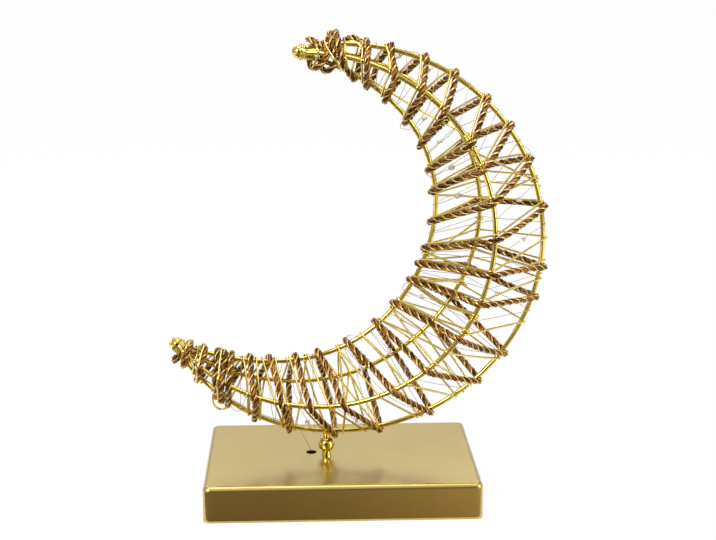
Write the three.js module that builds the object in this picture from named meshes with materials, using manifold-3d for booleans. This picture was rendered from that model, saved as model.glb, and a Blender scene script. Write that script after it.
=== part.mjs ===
// Tabletop crescent moon: a four-rail wire cage wound with cord, binding wire and a string of
// light drops, standing on a stem over a pressed metal tray with a battery case inside.
// Millimetres, +X to the right, +Y away from the front, +Z up, standing on Z = 0.
import * as THREE from 'three';
import { mergeVertices } from 'three/addons/utils/BufferGeometryUtils.js';
import Module from 'manifold-3d';

const wasm = await Module();
wasm.setup();

// Running gap left between two pieces that touch.
const seatGap = 0.3;
// How far a cut is carried past the face that it opens.
const cutOvershoot = 1;

// Base tray, pressed from sheet, open underneath.
const trayWidth = 150;
const trayDepth = 100;
const trayHeight = 20;
const trayWall = 1.2;
const trayCornerRadius = 4;
const trayEdgeRadius = 3;
const wireHoleDiameter = 6;
const wireHoleBesideStem = 8.4;
const wireHoleBehindStem = 6.6;

// Crescent: two ring arcs in one upright plane, seen from the middle of the tray.
const moonCentreX = -1.9;
const moonPlaneY = -5.2;
const moonStandoff = 13.9;
const outerRingRadius = 109.8;
const outerRingOval = 2.3;
const outerOvalAngle = 3.5;
const crescentWidth = 58.5;
const innerRingOval = 4.4;
const innerOvalAngle = 58.7;
const innerRingSetback = 25.2;
const innerSetbackAngle = 149;
const upperTipAngle = 99.5;
const upperTipInset = 5.9;
const lowerTipAngle = -146;
const lowerTipInset = 6;
const tipBlend = 0.22;
// Front and back rails: their place between inner and outer rail, and the cage's depth over its width.
const middleRailShare = 0.484;
const cageDepthRatio = 1.1;
const railDiameter = 2.6;
const tipBallDiameter = 7.4;

// Stem with its threaded end, washer and nut.
const stemShare = 0.7861;
const stemBallDiameter = 9;
const stemBallHeight = 7.2;
const stemFootDiameter = 4.4;
const stemNeckDiameter = 3.6;
const studDiameter = 3;
const studStickOut = 1;
const nutAcrossFlats = 5.5;
const nutHeight = 2.4;
const washerDiameter = 7;
const washerThickness = 0.5;

// Where the hand-wound turns cross the outer and the inner rail, as shares of each rail from the upper
// tip, and how far off the middle of these two shares they cross the front and the back rail. The first
// entry is the turn before turn 0, which only the cord begins in.
const cordTurns = {
  outer: [
    0.0075, 0.036, 0.0715, 0.1, 0.141, 0.179, 0.225, 0.2655, 0.3095, 0.3655, 0.435, 0.4705,
    0.545, 0.589, 0.657, 0.721, 0.775, 0.8305, 0.8745, 0.919, 0.958, 0.981, 0.993,
  ],
  inner: [
    0.0455, 0.0935, 0.118, 0.1565, 0.2085, 0.259, 0.3055, 0.3465, 0.406, 0.4595, 0.493, 0.53,
    0.5885, 0.6415, 0.711, 0.769, 0.8105, 0.8565, 0.888, 0.93, 0.964, 0.988,
  ],
  frontShift: [
    0, 0, -0.006, 0, -0.005, -0.0095, 0, -0.003, -0.0085, -0.013, -0.0155, -0.009,
    -0.017, 0, -0.0105, 0.003, 0.003, -0.007, -0.005, 0, 0, 0,
  ],
  backShift: [
    0, 0, 0, 0, 0, 0, 0, 0, -0.006, -0.003, 0, 0,
    -0.003, 0.01, -0.004, 0.003, 0.007, 0.006, 0, 0, 0, 0,
  ],
};
const bindingTurns = {
  outer: [
    0, 0.0275, 0.063, 0.0915, 0.132, 0.1705, 0.2165, 0.257, 0.301, 0.357, 0.401, 0.4485,
    0.502, 0.554, 0.622, 0.674, 0.738, 0.8215, 0.8655, 0.9105, 0.9495, 0.9725,
  ],
  inner: [
    0.032, 0.08, 0.1055, 0.1435, 0.195, 0.246, 0.2925, 0.333, 0.393, 0.446, 0.48, 0.5165,
    0.575, 0.628, 0.6785, 0.732, 0.789, 0.843, 0.875, 0.917, 0.952, 0.9765,
  ],
  frontShift: [
    0, 0, -0.006, 0, -0.005, -0.0095, 0, -0.003, -0.0085, -0.013, 0, 0,
    0, -0.018, 0, -0.009, 0.005, -0.007, -0.005, 0, 0, 0,
  ],
  backShift: [
    0, 0, 0, 0, 0, 0, 0, 0, -0.006, -0.003, 0, 0,
    0, 0, 0, 0, 0, 0.006, 0, 0, 0, 0,
  ],
};
const cordDiameter = 3.5;
const bindingWireDiameter = 1;
const ledWireDiameter = 0.5;
const cordFirstTurn = -0.5;
const cordLastTurn = 20.5;
// The thin wire keeps to a lane between a turn of cord and the next turn of binding wire.
const bindingFirstTurn = 0;
const ledLane = 0.55;
const ledFirstTurn = 1;
const lastLaneTurn = 19;
// The thin wire's way up: where it meets the outer rail, and how it goes round it into its first turn.
const leadRise = 0.802;
const leadStep = 0.02;
const turnInShare = 0.009;
const turnInSweep = 1.6;
const boardWireReach = 1;
const holeBendRun = 3;
const holeBendRise = 0.5;

// Light drops threaded on the thin wire.
const dropCount = 20;
const dropDiameter = 3;
const dropLength = 4.5;
const firstDropSpan = 3;
const spansPerDrop = 3.5;

// Battery case for three small cells, taped under the tray top.
const cellCount = 3;
const cellDiameter = 10.5;
const cellBodyLength = 43.3;
const cellNubDiameter = 3.8;
const cellNubLength = 1.2;
const cellRim = 0.5;
const caseSideWall = 2;
const caseEndWall = 1.2;
const caseTopWall = 1.4;
const caseCornerRadius = 1.5;
const caseFromStem = 11;
const coverThickness = 1.8;
const coverTongueHeight = 0.8;
const coverTongueReach = 0.8;
const ridgeFromEnd = 4;
const ridgeCount = 4;
const ridgeLength = 16;
const ridgeSize = 0.4;
const ridgePitch = 2;
const tapeThickness = 0.8;
const tapeWidth = 12;
const tapeLength = 50;
const switchBayLength = 8;
const springLength = 6;
const springWireDiameter = 0.6;
const springWideDiameter = 7.4;
const springNarrowDiameter = 5;
const springCurls = 3;
const plateThickness = 0.4;
const plateHeight = 8.6;
const plateSideMargin = 1;
const caseWireHoleDiameter = 1.2;

// Slide switch and the small board on its back.
const switchWidth = 4.6;
const switchLength = 10;
const switchHeight = 4.2;
const switchSkin = 0.8;
const sliderLength = 4.4;
const sliderHeight = 1.4;
const knobWidth = 1.8;
const knobLength = 2.4;
const knobProud = 1.5;
const knobTravel = 2.6;
const boardThickness = 1;
const boardWidth = 6;
const boardLength = 24;
const chipSize = 3;
const chipHeight = 1.2;

// How finely round shapes are cut.
const railSteps = 56;
const railSides = 8;
const cornerSteps = 4;
const edgeSteps = 3;
const lathSides = 16;
const smallLathSides = 7;
const ballSides = 12;
const ballRings = 7;
const nutSides = 6;
const springSides = 5;
const springStepsPerCurl = 8;
const cordArcPoints = 4;
const cordSides = 6;
const bindingArcPoints = 3;
const ledArcPoints = 2;
const wireSides = 5;

const deg = THREE.MathUtils.degToRad;
const trayTop = trayHeight;
const trayUnderside = trayHeight - trayWall;
const railRadius = railDiameter / 2;
const innerRingRadius = outerRingRadius - crescentWidth + innerRingSetback;

// Finishes.
const finish = (color, roughness, metalness) =>
  new THREE.MeshStandardMaterial({ color, roughness, metalness });
const trayGold = finish(0xb59a5c, 0.38, 1);
const railGold = finish(0xd9a648, 0.2, 1);
const wireGold = finish(0xe3b85a, 0.25, 1);
const cordBrown = finish(0x6e4a2a, 0.7, 0.2);
const wireCopper = finish(0xb8743a, 0.35, 1);
const dropResin = finish(0xf5d9a0, 0.25, 0);
const steel = finish(0xb5b7ba, 0.35, 1);
const caseWhite = finish(0xe9e7e0, 0.55, 0);
const knobBlack = finish(0x1c1c1e, 0.5, 0);
const cellSleeve = finish(0x2f6b46, 0.4, 0.2);
const boardGreen = finish(0x2c6a44, 0.5, 0);
const tapeGrey = finish(0xd8d8d2, 0.9, 0);

const assembly = new THREE.Group();

function addPiece(name, geometry, material, place = [0, 0, 0]) {
  const mesh = new THREE.Mesh(geometry, material);
  mesh.name = name;
  mesh.position.set(...place);
  assembly.add(mesh);
  return mesh;
}

// A closed geometry as a solid that can be joined and cut.
function toSolid(geometry, place = [0, 0, 0]) {
  const bare = geometry.clone();
  bare.deleteAttribute('normal');
  bare.deleteAttribute('uv');
  bare.translate(...place);
  const merged = mergeVertices(bare, 1e-4);
  const corners = merged.index.array;
  const kept = [];
  for (let i = 0; i < corners.length; i += 3) {
    const [a, b, c] = [corners[i], corners[i + 1], corners[i + 2]];
    if (a !== b && b !== c && c !== a) kept.push(a, b, c);
  }
  return new wasm.Manifold(new wasm.Mesh({
    numProp: 3,
    vertProperties: merged.attributes.position.array,
    triVerts: new Uint32Array(kept),
  }));
}

function toGeometry(solid) {
  const mesh = solid.getMesh();
  const geometry = new THREE.BufferGeometry();
  geometry.setAttribute('position', new THREE.BufferAttribute(mesh.vertProperties, 3));
  geometry.setIndex(new THREE.BufferAttribute(mesh.triVerts, 1));
  geometry.computeVertexNormals();
  return geometry;
}

// A box between two corners.
function boxSolid(low, high) {
  const size = high.map((value, axis) => value - low[axis]);
  const middle = high.map((value, axis) => (value + low[axis]) / 2);
  return toSolid(new THREE.BoxGeometry(...size), middle);
}

function roundedRectangle(width, depth, radius) {
  const shape = new THREE.Shape();
  const x = width / 2 - radius;
  const y = depth / 2 - radius;
  shape.absarc(x, y, radius, 0, Math.PI / 2);
  shape.absarc(-x, y, radius, Math.PI / 2, Math.PI);
  shape.absarc(-x, -y, radius, Math.PI, Math.PI * 1.5);
  shape.absarc(x, -y, radius, Math.PI * 1.5, Math.PI * 2);
  shape.closePath();
  return shape;
}

// A round bar or hole along Z, from one height to another.
function uprightBar(diameter, low, high, x, y, sides = lathSides) {
  const bar = new THREE.CylinderGeometry(diameter / 2, diameter / 2, high - low, sides);
  bar.rotateX(Math.PI / 2);
  return toSolid(bar, [x, y, (low + high) / 2]);
}

// A ball turned on Z, without the fine pole faces of a whole one.
function ballGeometry(diameter) {
  return new THREE.SphereGeometry(diameter / 2, ballSides, ballRings).rotateX(Math.PI / 2);
}

// The crescent's rails

const ringCentre = new THREE.Vector2(moonCentreX, 0);
const bayCentre = new THREE.Vector2(
  moonCentreX + innerRingSetback * Math.cos(deg(innerSetbackAngle)),
  innerRingSetback * Math.sin(deg(innerSetbackAngle)),
);

function polar(centre, radius, angle) {
  return new THREE.Vector2(centre.x + radius * Math.cos(angle), centre.y + radius * Math.sin(angle));
}

const upperTip = polar(ringCentre, outerRingRadius - upperTipInset, deg(upperTipAngle));
const lowerTip = polar(ringCentre, outerRingRadius - lowerTipInset, deg(lowerTipAngle));

// Four rails side by side at the tips: half the diagonal of a square of rails that just clear.
const bundleRadius = (railDiameter + seatGap) / Math.SQRT2;

// An arc about a centre from near the upper tip round the right side to near the lower tip, with its
// ends drawn onto the two points given.
function ringArc(centre, radius, oval, ovalAngle, start, end) {
  const from = Math.atan2(start.y - centre.y, start.x - centre.x);
  const wrapped = Math.atan2(end.y - centre.y, end.x - centre.x);
  const to = wrapped > 0 ? wrapped - 2 * Math.PI : wrapped;
  const bare = (share) => {
    const angle = from + (to - from) * share;
    return polar(centre, radius + oval * Math.cos(2 * (angle - deg(ovalAngle))), angle);
  };
  const startMiss = start.clone().sub(bare(0));
  const endMiss = end.clone().sub(bare(1));
  return (share) => {
    const startPull = Math.max(0, 1 - share / tipBlend) ** 2;
    const endPull = Math.max(0, 1 - (1 - share) / tipBlend) ** 2;
    return bare(share).addScaledVector(startMiss, startPull).addScaledVector(endMiss, endPull);
  };
}

// Directions across the bundle at each tip, pointing away from the bay.
const upperAcross = upperTip.clone().sub(bayCentre).normalize();
const lowerAcross = lowerTip.clone().sub(bayCentre).normalize();
const besideTip = (tip, across, side) => tip.clone().addScaledVector(across, side * bundleRadius);

const outerArc = ringArc(
  ringCentre, outerRingRadius, outerRingOval, outerOvalAngle,
  besideTip(upperTip, upperAcross, 1), besideTip(lowerTip, lowerAcross, 1),
);
const innerArc = ringArc(
  bayCentre, innerRingRadius, innerRingOval, innerOvalAngle,
  besideTip(upperTip, upperAcross, -1), besideTip(lowerTip, lowerAcross, -1),
);

// The rings' centre height follows from the stem: the outer rail's underside stands above the tray.
const railAtStem = outerArc(stemShare);
const moonCentreZ = trayTop + moonStandoff + railRadius - railAtStem.y;

class Rail extends THREE.Curve {
  constructor(placeAt) {
    super();
    this.placeAt = placeAt;
  }

  getPoint(share, target = new THREE.Vector3()) {
    return target.copy(this.placeAt(share));
  }
}

const upright = (point, y) => new THREE.Vector3(point.x, moonPlaneY + y, moonCentreZ + point.y);

function middleRailPoint(share, side) {
  const outer = outerArc(share);
  const inner = innerArc(share);
  const halfDepth = cageDepthRatio * outer.distanceTo(inner) / 2;
  return upright(inner.clone().lerp(outer, middleRailShare), side * halfDepth);
}

// In the order in which a winding meets them.
const rails = [
  { name: 'outer_rail', curve: new Rail((share) => upright(outerArc(share), 0)) },
  { name: 'front_rail', curve: new Rail((share) => middleRailPoint(share, -1)) },
  { name: 'inner_rail', curve: new Rail((share) => upright(innerArc(share), 0)) },
  { name: 'back_rail', curve: new Rail((share) => middleRailPoint(share, 1)) },
];

const circle = (radius, sides) => new THREE.Shape(
  Array.from({ length: sides }, (_, i) => {
    const angle = ((i + 0.5) / sides) * 2 * Math.PI;
    return new THREE.Vector2(radius * Math.cos(angle), radius * Math.sin(angle));
  }),
);

for (const { name, curve } of rails) {
  const bar = new THREE.ExtrudeGeometry(circle(railRadius, railSides), {
    steps: railSteps,
    extrudePath: curve,
  });
  addPiece(name, bar, railGold);
}

// A ball over the end of the four rails, hollowed where they run in side by side.
function tipBall(name, share) {
  const outwards = share === 0 ? -1 : 1;
  const ends = rails.map(({ curve }) => ({
    at: curve.getPoint(share),
    along: curve.getTangent(share).multiplyScalar(outwards),
  }));
  const endsMiddle = new THREE.Vector3();
  const along = new THREE.Vector3();
  for (const end of ends) {
    endsMiddle.addScaledVector(end.at, 1 / ends.length);
    along.add(end.along);
  }
  along.normalize();
  const centre = endsMiddle.clone().addScaledVector(along, tipBallDiameter / 2 - railRadius);
  const stub = (radius, middle, direction) => {
    const bar = new THREE.CylinderGeometry(radius, radius, tipBallDiameter, railSides);
    bar.translate(0, seatGap - tipBallDiameter / 2, 0);
    bar.applyQuaternion(new THREE.Quaternion().setFromUnitVectors(new THREE.Vector3(0, 1, 0), direction));
    return toSolid(bar, middle.toArray());
  };
  const holeRadius = (railRadius + seatGap) / Math.cos(Math.PI / railSides);
  let ball = toSolid(ballGeometry(tipBallDiameter), centre.toArray())
    .subtract(stub(bundleRadius, endsMiddle, along));
  for (const end of ends) ball = ball.subtract(stub(holeRadius, end.at, end.along));
  addPiece(name, toGeometry(ball), railGold);
}
tipBall('upper_tip_ball', 0);
tipBall('lower_tip_ball', 1);

// The tray

const stemX = railAtStem.x;
const wireHoleX = stemX - wireHoleBesideStem;
const wireHoleY = moonPlaneY + wireHoleBehindStem;

function trayBlock(inset, top) {
  const edge = trayEdgeRadius - inset;
  const shape = roundedRectangle(
    trayWidth - 2 * trayEdgeRadius, trayDepth - 2 * trayEdgeRadius, trayCornerRadius - trayEdgeRadius,
  );
  const block = new THREE.ExtrudeGeometry(shape, {
    depth: top - edge,
    bevelEnabled: true,
    bevelThickness: edge,
    bevelSize: edge,
    bevelSegments: edgeSteps,
    curveSegments: cornerSteps,
  });
  return toSolid(block);
}

const trayHollow = trayBlock(trayWall, trayUnderside);
const belowFloor = boxSolid([-trayWidth, -trayDepth, -trayHeight], [trayWidth, trayDepth, 0]);
const stemHole = uprightBar(studDiameter + 2 * seatGap, 0, trayTop * 2, stemX, moonPlaneY);
const wireHole = uprightBar(wireHoleDiameter, 0, trayTop * 2, wireHoleX, wireHoleY);
const tray = trayBlock(0, trayTop).subtract(trayHollow).subtract(belowFloor)
  .subtract(stemHole).subtract(wireHole);
addPiece('base_shell', toGeometry(tray), trayGold);

// The stem

const nutTop = trayUnderside - seatGap - washerThickness - seatGap;
const studEnd = nutTop - nutHeight - studStickOut;
const stemFoot = trayTop + seatGap;
const stemBallCentre = trayTop + stemBallHeight;
const railAxisAtStem = moonCentreZ + railAtStem.y;

function stemProfile() {
  const ballRadius = stemBallDiameter / 2;
  const points = [
    new THREE.Vector2(0, studEnd),
    new THREE.Vector2(studDiameter / 2, studEnd),
    new THREE.Vector2(studDiameter / 2, stemFoot),
    new THREE.Vector2(stemFootDiameter / 2, stemFoot),
  ];
  const from = -Math.acos(stemFootDiameter / stemBallDiameter);
  const to = Math.acos(stemNeckDiameter / stemBallDiameter);
  for (let i = 0; i <= ballRings; i += 1) {
    const angle = from + ((to - from) * i) / ballRings;
    points.push(new THREE.Vector2(
      ballRadius * Math.cos(angle), stemBallCentre + ballRadius * Math.sin(angle),
    ));
  }
  points.push(new THREE.Vector2(stemNeckDiameter / 2, railAxisAtStem));
  points.push(new THREE.Vector2(0, railAxisAtStem));
  return points;
}

const stemBlank = new THREE.LatheGeometry(stemProfile(), lathSides).rotateX(Math.PI / 2);
const saddle = new THREE.CylinderGeometry(
  railRadius + seatGap, railRadius + seatGap, stemBallDiameter, railSides * 2,
);
saddle.applyQuaternion(new THREE.Quaternion().setFromUnitVectors(
  new THREE.Vector3(0, 1, 0), rails[0].curve.getTangent(stemShare),
));
const stem = toSolid(stemBlank, [stemX, moonPlaneY, 0])
  .subtract(toSolid(saddle, [stemX, moonPlaneY, railAxisAtStem]));
addPiece('stem', toGeometry(stem), railGold);

function ringShape(outline, boreDiameter) {
  outline.holes.push(circle(boreDiameter / 2, lathSides));
  return outline;
}

const studClearance = studDiameter + 2 * seatGap;
const washer = new THREE.ExtrudeGeometry(
  ringShape(circle(washerDiameter / 2, lathSides), studClearance),
  { depth: washerThickness, bevelEnabled: false },
);
addPiece('stem_washer', washer, steel, [stemX, moonPlaneY, trayUnderside - seatGap - washerThickness]);
const nutCornerRadius = nutAcrossFlats / 2 / Math.cos(Math.PI / nutSides);
const nut = new THREE.ExtrudeGeometry(
  ringShape(circle(nutCornerRadius, nutSides), studClearance),
  { depth: nutHeight, bevelEnabled: false },
);
addPiece('stem_nut', nut, steel, [stemX, moonPlaneY, nutTop - nutHeight]);

// The battery case, its cells and contacts

const cellPitch = cellDiameter + seatGap;
const cellBayWidth = cellCount * cellPitch + seatGap;
const cellLength = cellBodyLength + cellNubLength;
const contactDepth = plateThickness + 2 * seatGap;
const cellBayLength = cellLength + springLength + seatGap + 2 * contactDepth;
const caseLeft = stemX + caseFromStem;
const bayLeft = caseLeft + caseEndWall;
const bayRight = bayLeft + cellBayLength;
const switchBayLeft = bayRight + caseEndWall;
const switchBayRight = switchBayLeft + switchBayLength;
const caseRight = switchBayRight + caseEndWall;
const caseWidth = cellBayWidth + 2 * caseSideWall;
const caseTop = trayUnderside - tapeThickness - 2 * seatGap;
const cellTop = caseTop - caseTopWall - seatGap;
const cellAxisZ = cellTop - cellDiameter / 2;
const coverTop = cellTop - cellDiameter - seatGap;
const caseBottom = coverTop - coverThickness;
// The thin wire runs over the valley between the second and third cell, straight out to the hole.
const caseY = wireHoleY - cellPitch / 2;
const cellWireZ = caseTop - caseTopWall - seatGap - ledWireDiameter / 2;

function caseSolid() {
  const low = caseY - caseWidth / 2;
  const high = caseY + caseWidth / 2;
  const shape = roundedRectangle(caseRight - caseLeft, caseWidth, caseCornerRadius);
  const block = new THREE.ExtrudeGeometry(shape, {
    depth: caseTop - caseBottom, bevelEnabled: false, curveSegments: cornerSteps,
  });
  const ceiling = caseTop - caseTopWall;
  const floor = caseBottom + coverThickness;
  const cellBay = boxSolid(
    [bayLeft, low + caseSideWall, caseBottom - cutOvershoot],
    [bayRight, high - caseSideWall, ceiling],
  );
  const switchBay = boxSolid(
    [switchBayLeft, low + caseSideWall, caseBottom + switchSkin],
    [switchBayRight, high - caseSideWall, ceiling],
  );
  const slideOut = boxSolid(
    [caseLeft - cutOvershoot, low + caseSideWall, caseBottom - cutOvershoot],
    [bayRight, high - caseSideWall, floor + seatGap],
  );
  const grooveReach = coverTongueReach + seatGap;
  const grooves = boxSolid(
    [caseLeft - cutOvershoot, low + caseSideWall - grooveReach, floor - coverTongueHeight - seatGap],
    [bayRight, high - caseSideWall + grooveReach, floor + seatGap],
  );
  const slotMiddle = (switchBayLeft + switchBayRight) / 2;
  const slotWide = knobWidth / 2 + seatGap;
  const slotLong = (knobLength + knobTravel) / 2 + seatGap;
  const slot = boxSolid(
    [slotMiddle - slotWide, caseY - slotLong, caseBottom - cutOvershoot],
    [slotMiddle + slotWide, caseY + slotLong, floor],
  );
  const wireWay = new THREE.CylinderGeometry(
    caseWireHoleDiameter / 2, caseWireHoleDiameter / 2, switchBayLeft - caseLeft + 2 * cutOvershoot,
    smallLathSides,
  ).rotateZ(Math.PI / 2);
  return toSolid(block, [(caseLeft + caseRight) / 2, caseY, caseBottom])
    .subtract(cellBay).subtract(switchBay).subtract(slideOut).subtract(grooves).subtract(slot)
    .subtract(toSolid(wireWay, [(caseLeft + switchBayLeft) / 2, wireHoleY, cellWireZ]));
}
addPiece('battery_case', toGeometry(caseSolid()), caseWhite);

function coverSolid() {
  const half = cellBayWidth / 2 - seatGap;
  const left = caseLeft;
  const right = bayRight - seatGap;
  let cover = boxSolid([left, caseY - half, caseBottom], [right, caseY + half, coverTop])
    .add(boxSolid(
      [left, caseY - half - coverTongueReach, coverTop - coverTongueHeight],
      [right, caseY + half + coverTongueReach, coverTop],
    ));
  for (let i = 0; i < ridgeCount; i += 1) {
    const x = left + ridgeFromEnd + i * ridgePitch;
    cover = cover.add(boxSolid(
      [x, caseY - ridgeLength / 2, caseBottom - ridgeSize],
      [x + ridgeSize, caseY + ridgeLength / 2, caseBottom + ridgeSize],
    ));
  }
  return cover;
}
addPiece('battery_cover', toGeometry(coverSolid()), caseWhite);

// A cell along X, standing on its flat end, with its nub at the far end.
function cellGeometry() {
  const radius = cellDiameter / 2;
  const profile = [
    [0, 0], [radius - cellRim, 0], [radius, cellRim], [radius, cellBodyLength - cellRim],
    [radius - cellRim, cellBodyLength], [cellNubDiameter / 2, cellBodyLength],
    [cellNubDiameter / 2, cellLength], [0, cellLength],
  ].map(([r, z]) => new THREE.Vector2(r, z));
  return new THREE.LatheGeometry(profile, lathSides).rotateZ(-Math.PI / 2);
}

// A tube through the points given, each ring square to the bend there.
function tubeAlong(points, diameter, sides) {
  const radius = diameter / 2;
  const last = points.length - 1;
  const heading = (i) => points[Math.min(i + 1, last)].clone().sub(points[Math.max(i - 1, 0)]).normalize();
  const positions = [];
  const faces = [];
  let across = new THREE.Vector3(0, 0, 1);
  if (Math.abs(heading(0).z) > Math.SQRT1_2) across.set(1, 0, 0);
  for (let i = 0; i <= last; i += 1) {
    const forward = heading(i);
    across = across.clone().addScaledVector(forward, -across.dot(forward)).normalize();
    const aside = forward.clone().cross(across);
    for (let s = 0; s < sides; s += 1) {
      const angle = (s / sides) * 2 * Math.PI;
      positions.push(...points[i].clone()
        .addScaledVector(across, radius * Math.cos(angle))
        .addScaledVector(aside, radius * Math.sin(angle)).toArray());
    }
  }
  for (let i = 0; i < last; i += 1) {
    for (let s = 0; s < sides; s += 1) {
      const a = i * sides + s;
      const b = i * sides + ((s + 1) % sides);
      faces.push(a, b, b + sides, a, b + sides, a + sides);
    }
  }
  const tail = last * sides;
  for (let s = 1; s < sides - 1; s += 1) {
    faces.push(0, s + 1, s, tail, tail + s, tail + s + 1);
  }
  const geometry = new THREE.BufferGeometry();
  geometry.setAttribute('position', new THREE.Float32BufferAttribute(positions, 3));
  geometry.setIndex(faces);
  geometry.computeVertexNormals();
  return geometry;
}

// A tapering contact spring along X, wide end first, each end turned square to what it presses on.
function springPoints() {
  const wide = (springWideDiameter - springWireDiameter) / 2;
  const narrow = (springNarrowDiameter - springWireDiameter) / 2;
  const straight = springWireDiameter;
  const rise = springLength - 2 * straight;
  const steps = springCurls * springStepsPerCurl;
  const points = [new THREE.Vector3(0, wide, 0)];
  for (let i = 0; i <= steps; i += 1) {
    const share = i / steps;
    const angle = share * springCurls * 2 * Math.PI;
    const radius = wide + (narrow - wide) * share;
    points.push(new THREE.Vector3(
      straight + rise * share, radius * Math.cos(angle), radius * Math.sin(angle),
    ));
  }
  points.push(new THREE.Vector3(springLength, narrow, 0));
  return points;
}

// Alternate cells lie the other way round, so their springs do as well.
for (let i = 0; i < cellCount; i += 1) {
  const y = caseY + (i - (cellCount - 1) / 2) * cellPitch;
  const turned = i % 2 === 1;
  const direction = turned ? -1 : 1;
  const springSide = turned ? bayRight - contactDepth : bayLeft + contactDepth;
  const cellStart = springSide + direction * (springLength + seatGap);
  const cell = addPiece(`battery_cell_${i + 1}`, cellGeometry(), cellSleeve, [cellStart, y, cellAxisZ]);
  const spring = addPiece(
    `contact_spring_${i + 1}`, tubeAlong(springPoints(), springWireDiameter, springSides),
    steel, [springSide, y, cellAxisZ],
  );
  if (turned) {
    cell.rotation.z = Math.PI;
    spring.rotation.z = Math.PI;
  }
}

// Contact plates: at the left end one joins the first two cells, at the right end the last two.
function contactPlate(name, firstCell, lastCell, x) {
  const span = (lastCell - firstCell + 1) * cellPitch - 2 * plateSideMargin;
  const middle = caseY + ((firstCell + lastCell) / 2 - (cellCount - 1) / 2) * cellPitch;
  const plate = new THREE.BoxGeometry(plateThickness, span, plateHeight);
  addPiece(name, plate, steel, [x, middle, coverTop + seatGap + plateHeight / 2]);
}
const leftPlateX = bayLeft + seatGap + plateThickness / 2;
const rightPlateX = bayRight - seatGap - plateThickness / 2;
contactPlate('contact_plate_left_pair', 0, 1, leftPlateX);
contactPlate('contact_plate_left_single', 2, 2, leftPlateX);
contactPlate('contact_plate_right_single', 0, 0, rightPlateX);
contactPlate('contact_plate_right_pair', 1, 2, rightPlateX);

// The switch stands on the skin under its bay, and the board lies on its back.
const switchX = (switchBayLeft + switchBayRight) / 2;
const switchFloor = caseBottom + switchSkin + seatGap;
const switchTop = switchFloor + switchHeight;
const sliderLow = switchFloor + switchSkin + seatGap;

function switchHousing() {
  const wayLong = (sliderLength + knobTravel) / 2 + seatGap;
  const stalkLong = (knobLength + knobTravel) / 2 + seatGap;
  const sliderWide = switchWidth / 2 - switchSkin;
  const stalkWide = knobWidth / 2 + seatGap;
  return boxSolid(
    [switchX - switchWidth / 2, caseY - switchLength / 2, switchFloor],
    [switchX + switchWidth / 2, caseY + switchLength / 2, switchTop],
  ).subtract(boxSolid(
    [switchX - sliderWide, caseY - wayLong, switchFloor + switchSkin],
    [switchX + sliderWide, caseY + wayLong, sliderLow + sliderHeight + seatGap],
  )).subtract(boxSolid(
    [switchX - stalkWide, caseY - stalkLong, switchFloor - cutOvershoot],
    [switchX + stalkWide, caseY + stalkLong, switchFloor + switchSkin + seatGap],
  ));
}
addPiece('switch_housing', toGeometry(switchHousing()), steel);

// At rest the knob stands at the near end of its slot: off.
function switchKnob() {
  const y = caseY - knobTravel / 2;
  const sliderWide = switchWidth / 2 - switchSkin - seatGap;
  return boxSolid(
    [switchX - sliderWide, y - sliderLength / 2, sliderLow],
    [switchX + sliderWide, y + sliderLength / 2, sliderLow + sliderHeight],
  ).add(boxSolid(
    [switchX - knobWidth / 2, y - knobLength / 2, caseBottom - knobProud],
    [switchX + knobWidth / 2, y + knobLength / 2, sliderLow + sliderHeight / 2],
  ));
}
addPiece('switch_knob', toGeometry(switchKnob()), knobBlack);

const boardLow = switchTop + seatGap;
const boardTop = boardLow + boardThickness;
const chipY = caseY + boardLength / 4;
const board = boxSolid(
  [switchX - boardWidth / 2, caseY - boardLength / 2, boardLow],
  [switchX + boardWidth / 2, caseY + boardLength / 2, boardTop],
).add(boxSolid(
  [switchX - chipSize / 2, chipY - chipSize / 2, boardTop - boardThickness / 2],
  [switchX + chipSize / 2, chipY + chipSize / 2, boardTop + chipHeight],
));
addPiece('controller_board', toGeometry(board), boardGreen);

for (const side of [-1, 1]) {
  const tape = new THREE.BoxGeometry(tapeLength, tapeWidth, tapeThickness);
  const y = caseY + side * (caseWidth / 2 - tapeWidth / 2);
  const z = caseTop + seatGap + tapeThickness / 2;
  addPiece(side < 0 ? 'foam_tape_front' : 'foam_tape_back', tape, tapeGrey,
    [(caseLeft + caseRight) / 2, y, z]);
}

// The windings

// A crossing is one of four to a turn: outer, front, inner and back rail.
function crossingAt(crossing, turns) {
  const quarter = ((crossing % 4) + 4) % 4;
  const entry = (crossing - quarter) / 4 + 1;
  const outer = turns.outer[entry];
  const inner = turns.inner[entry];
  const front = (outer + inner) / 2 + turns.frontShift[entry];
  const back = (inner + turns.outer[entry + 1]) / 2 + turns.backShift[entry];
  const share = [outer, front, inner, back][quarter];
  const { curve } = rails[quarter];
  return { share, at: curve.getPoint(share), along: curve.getTangent(share) };
}

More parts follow.
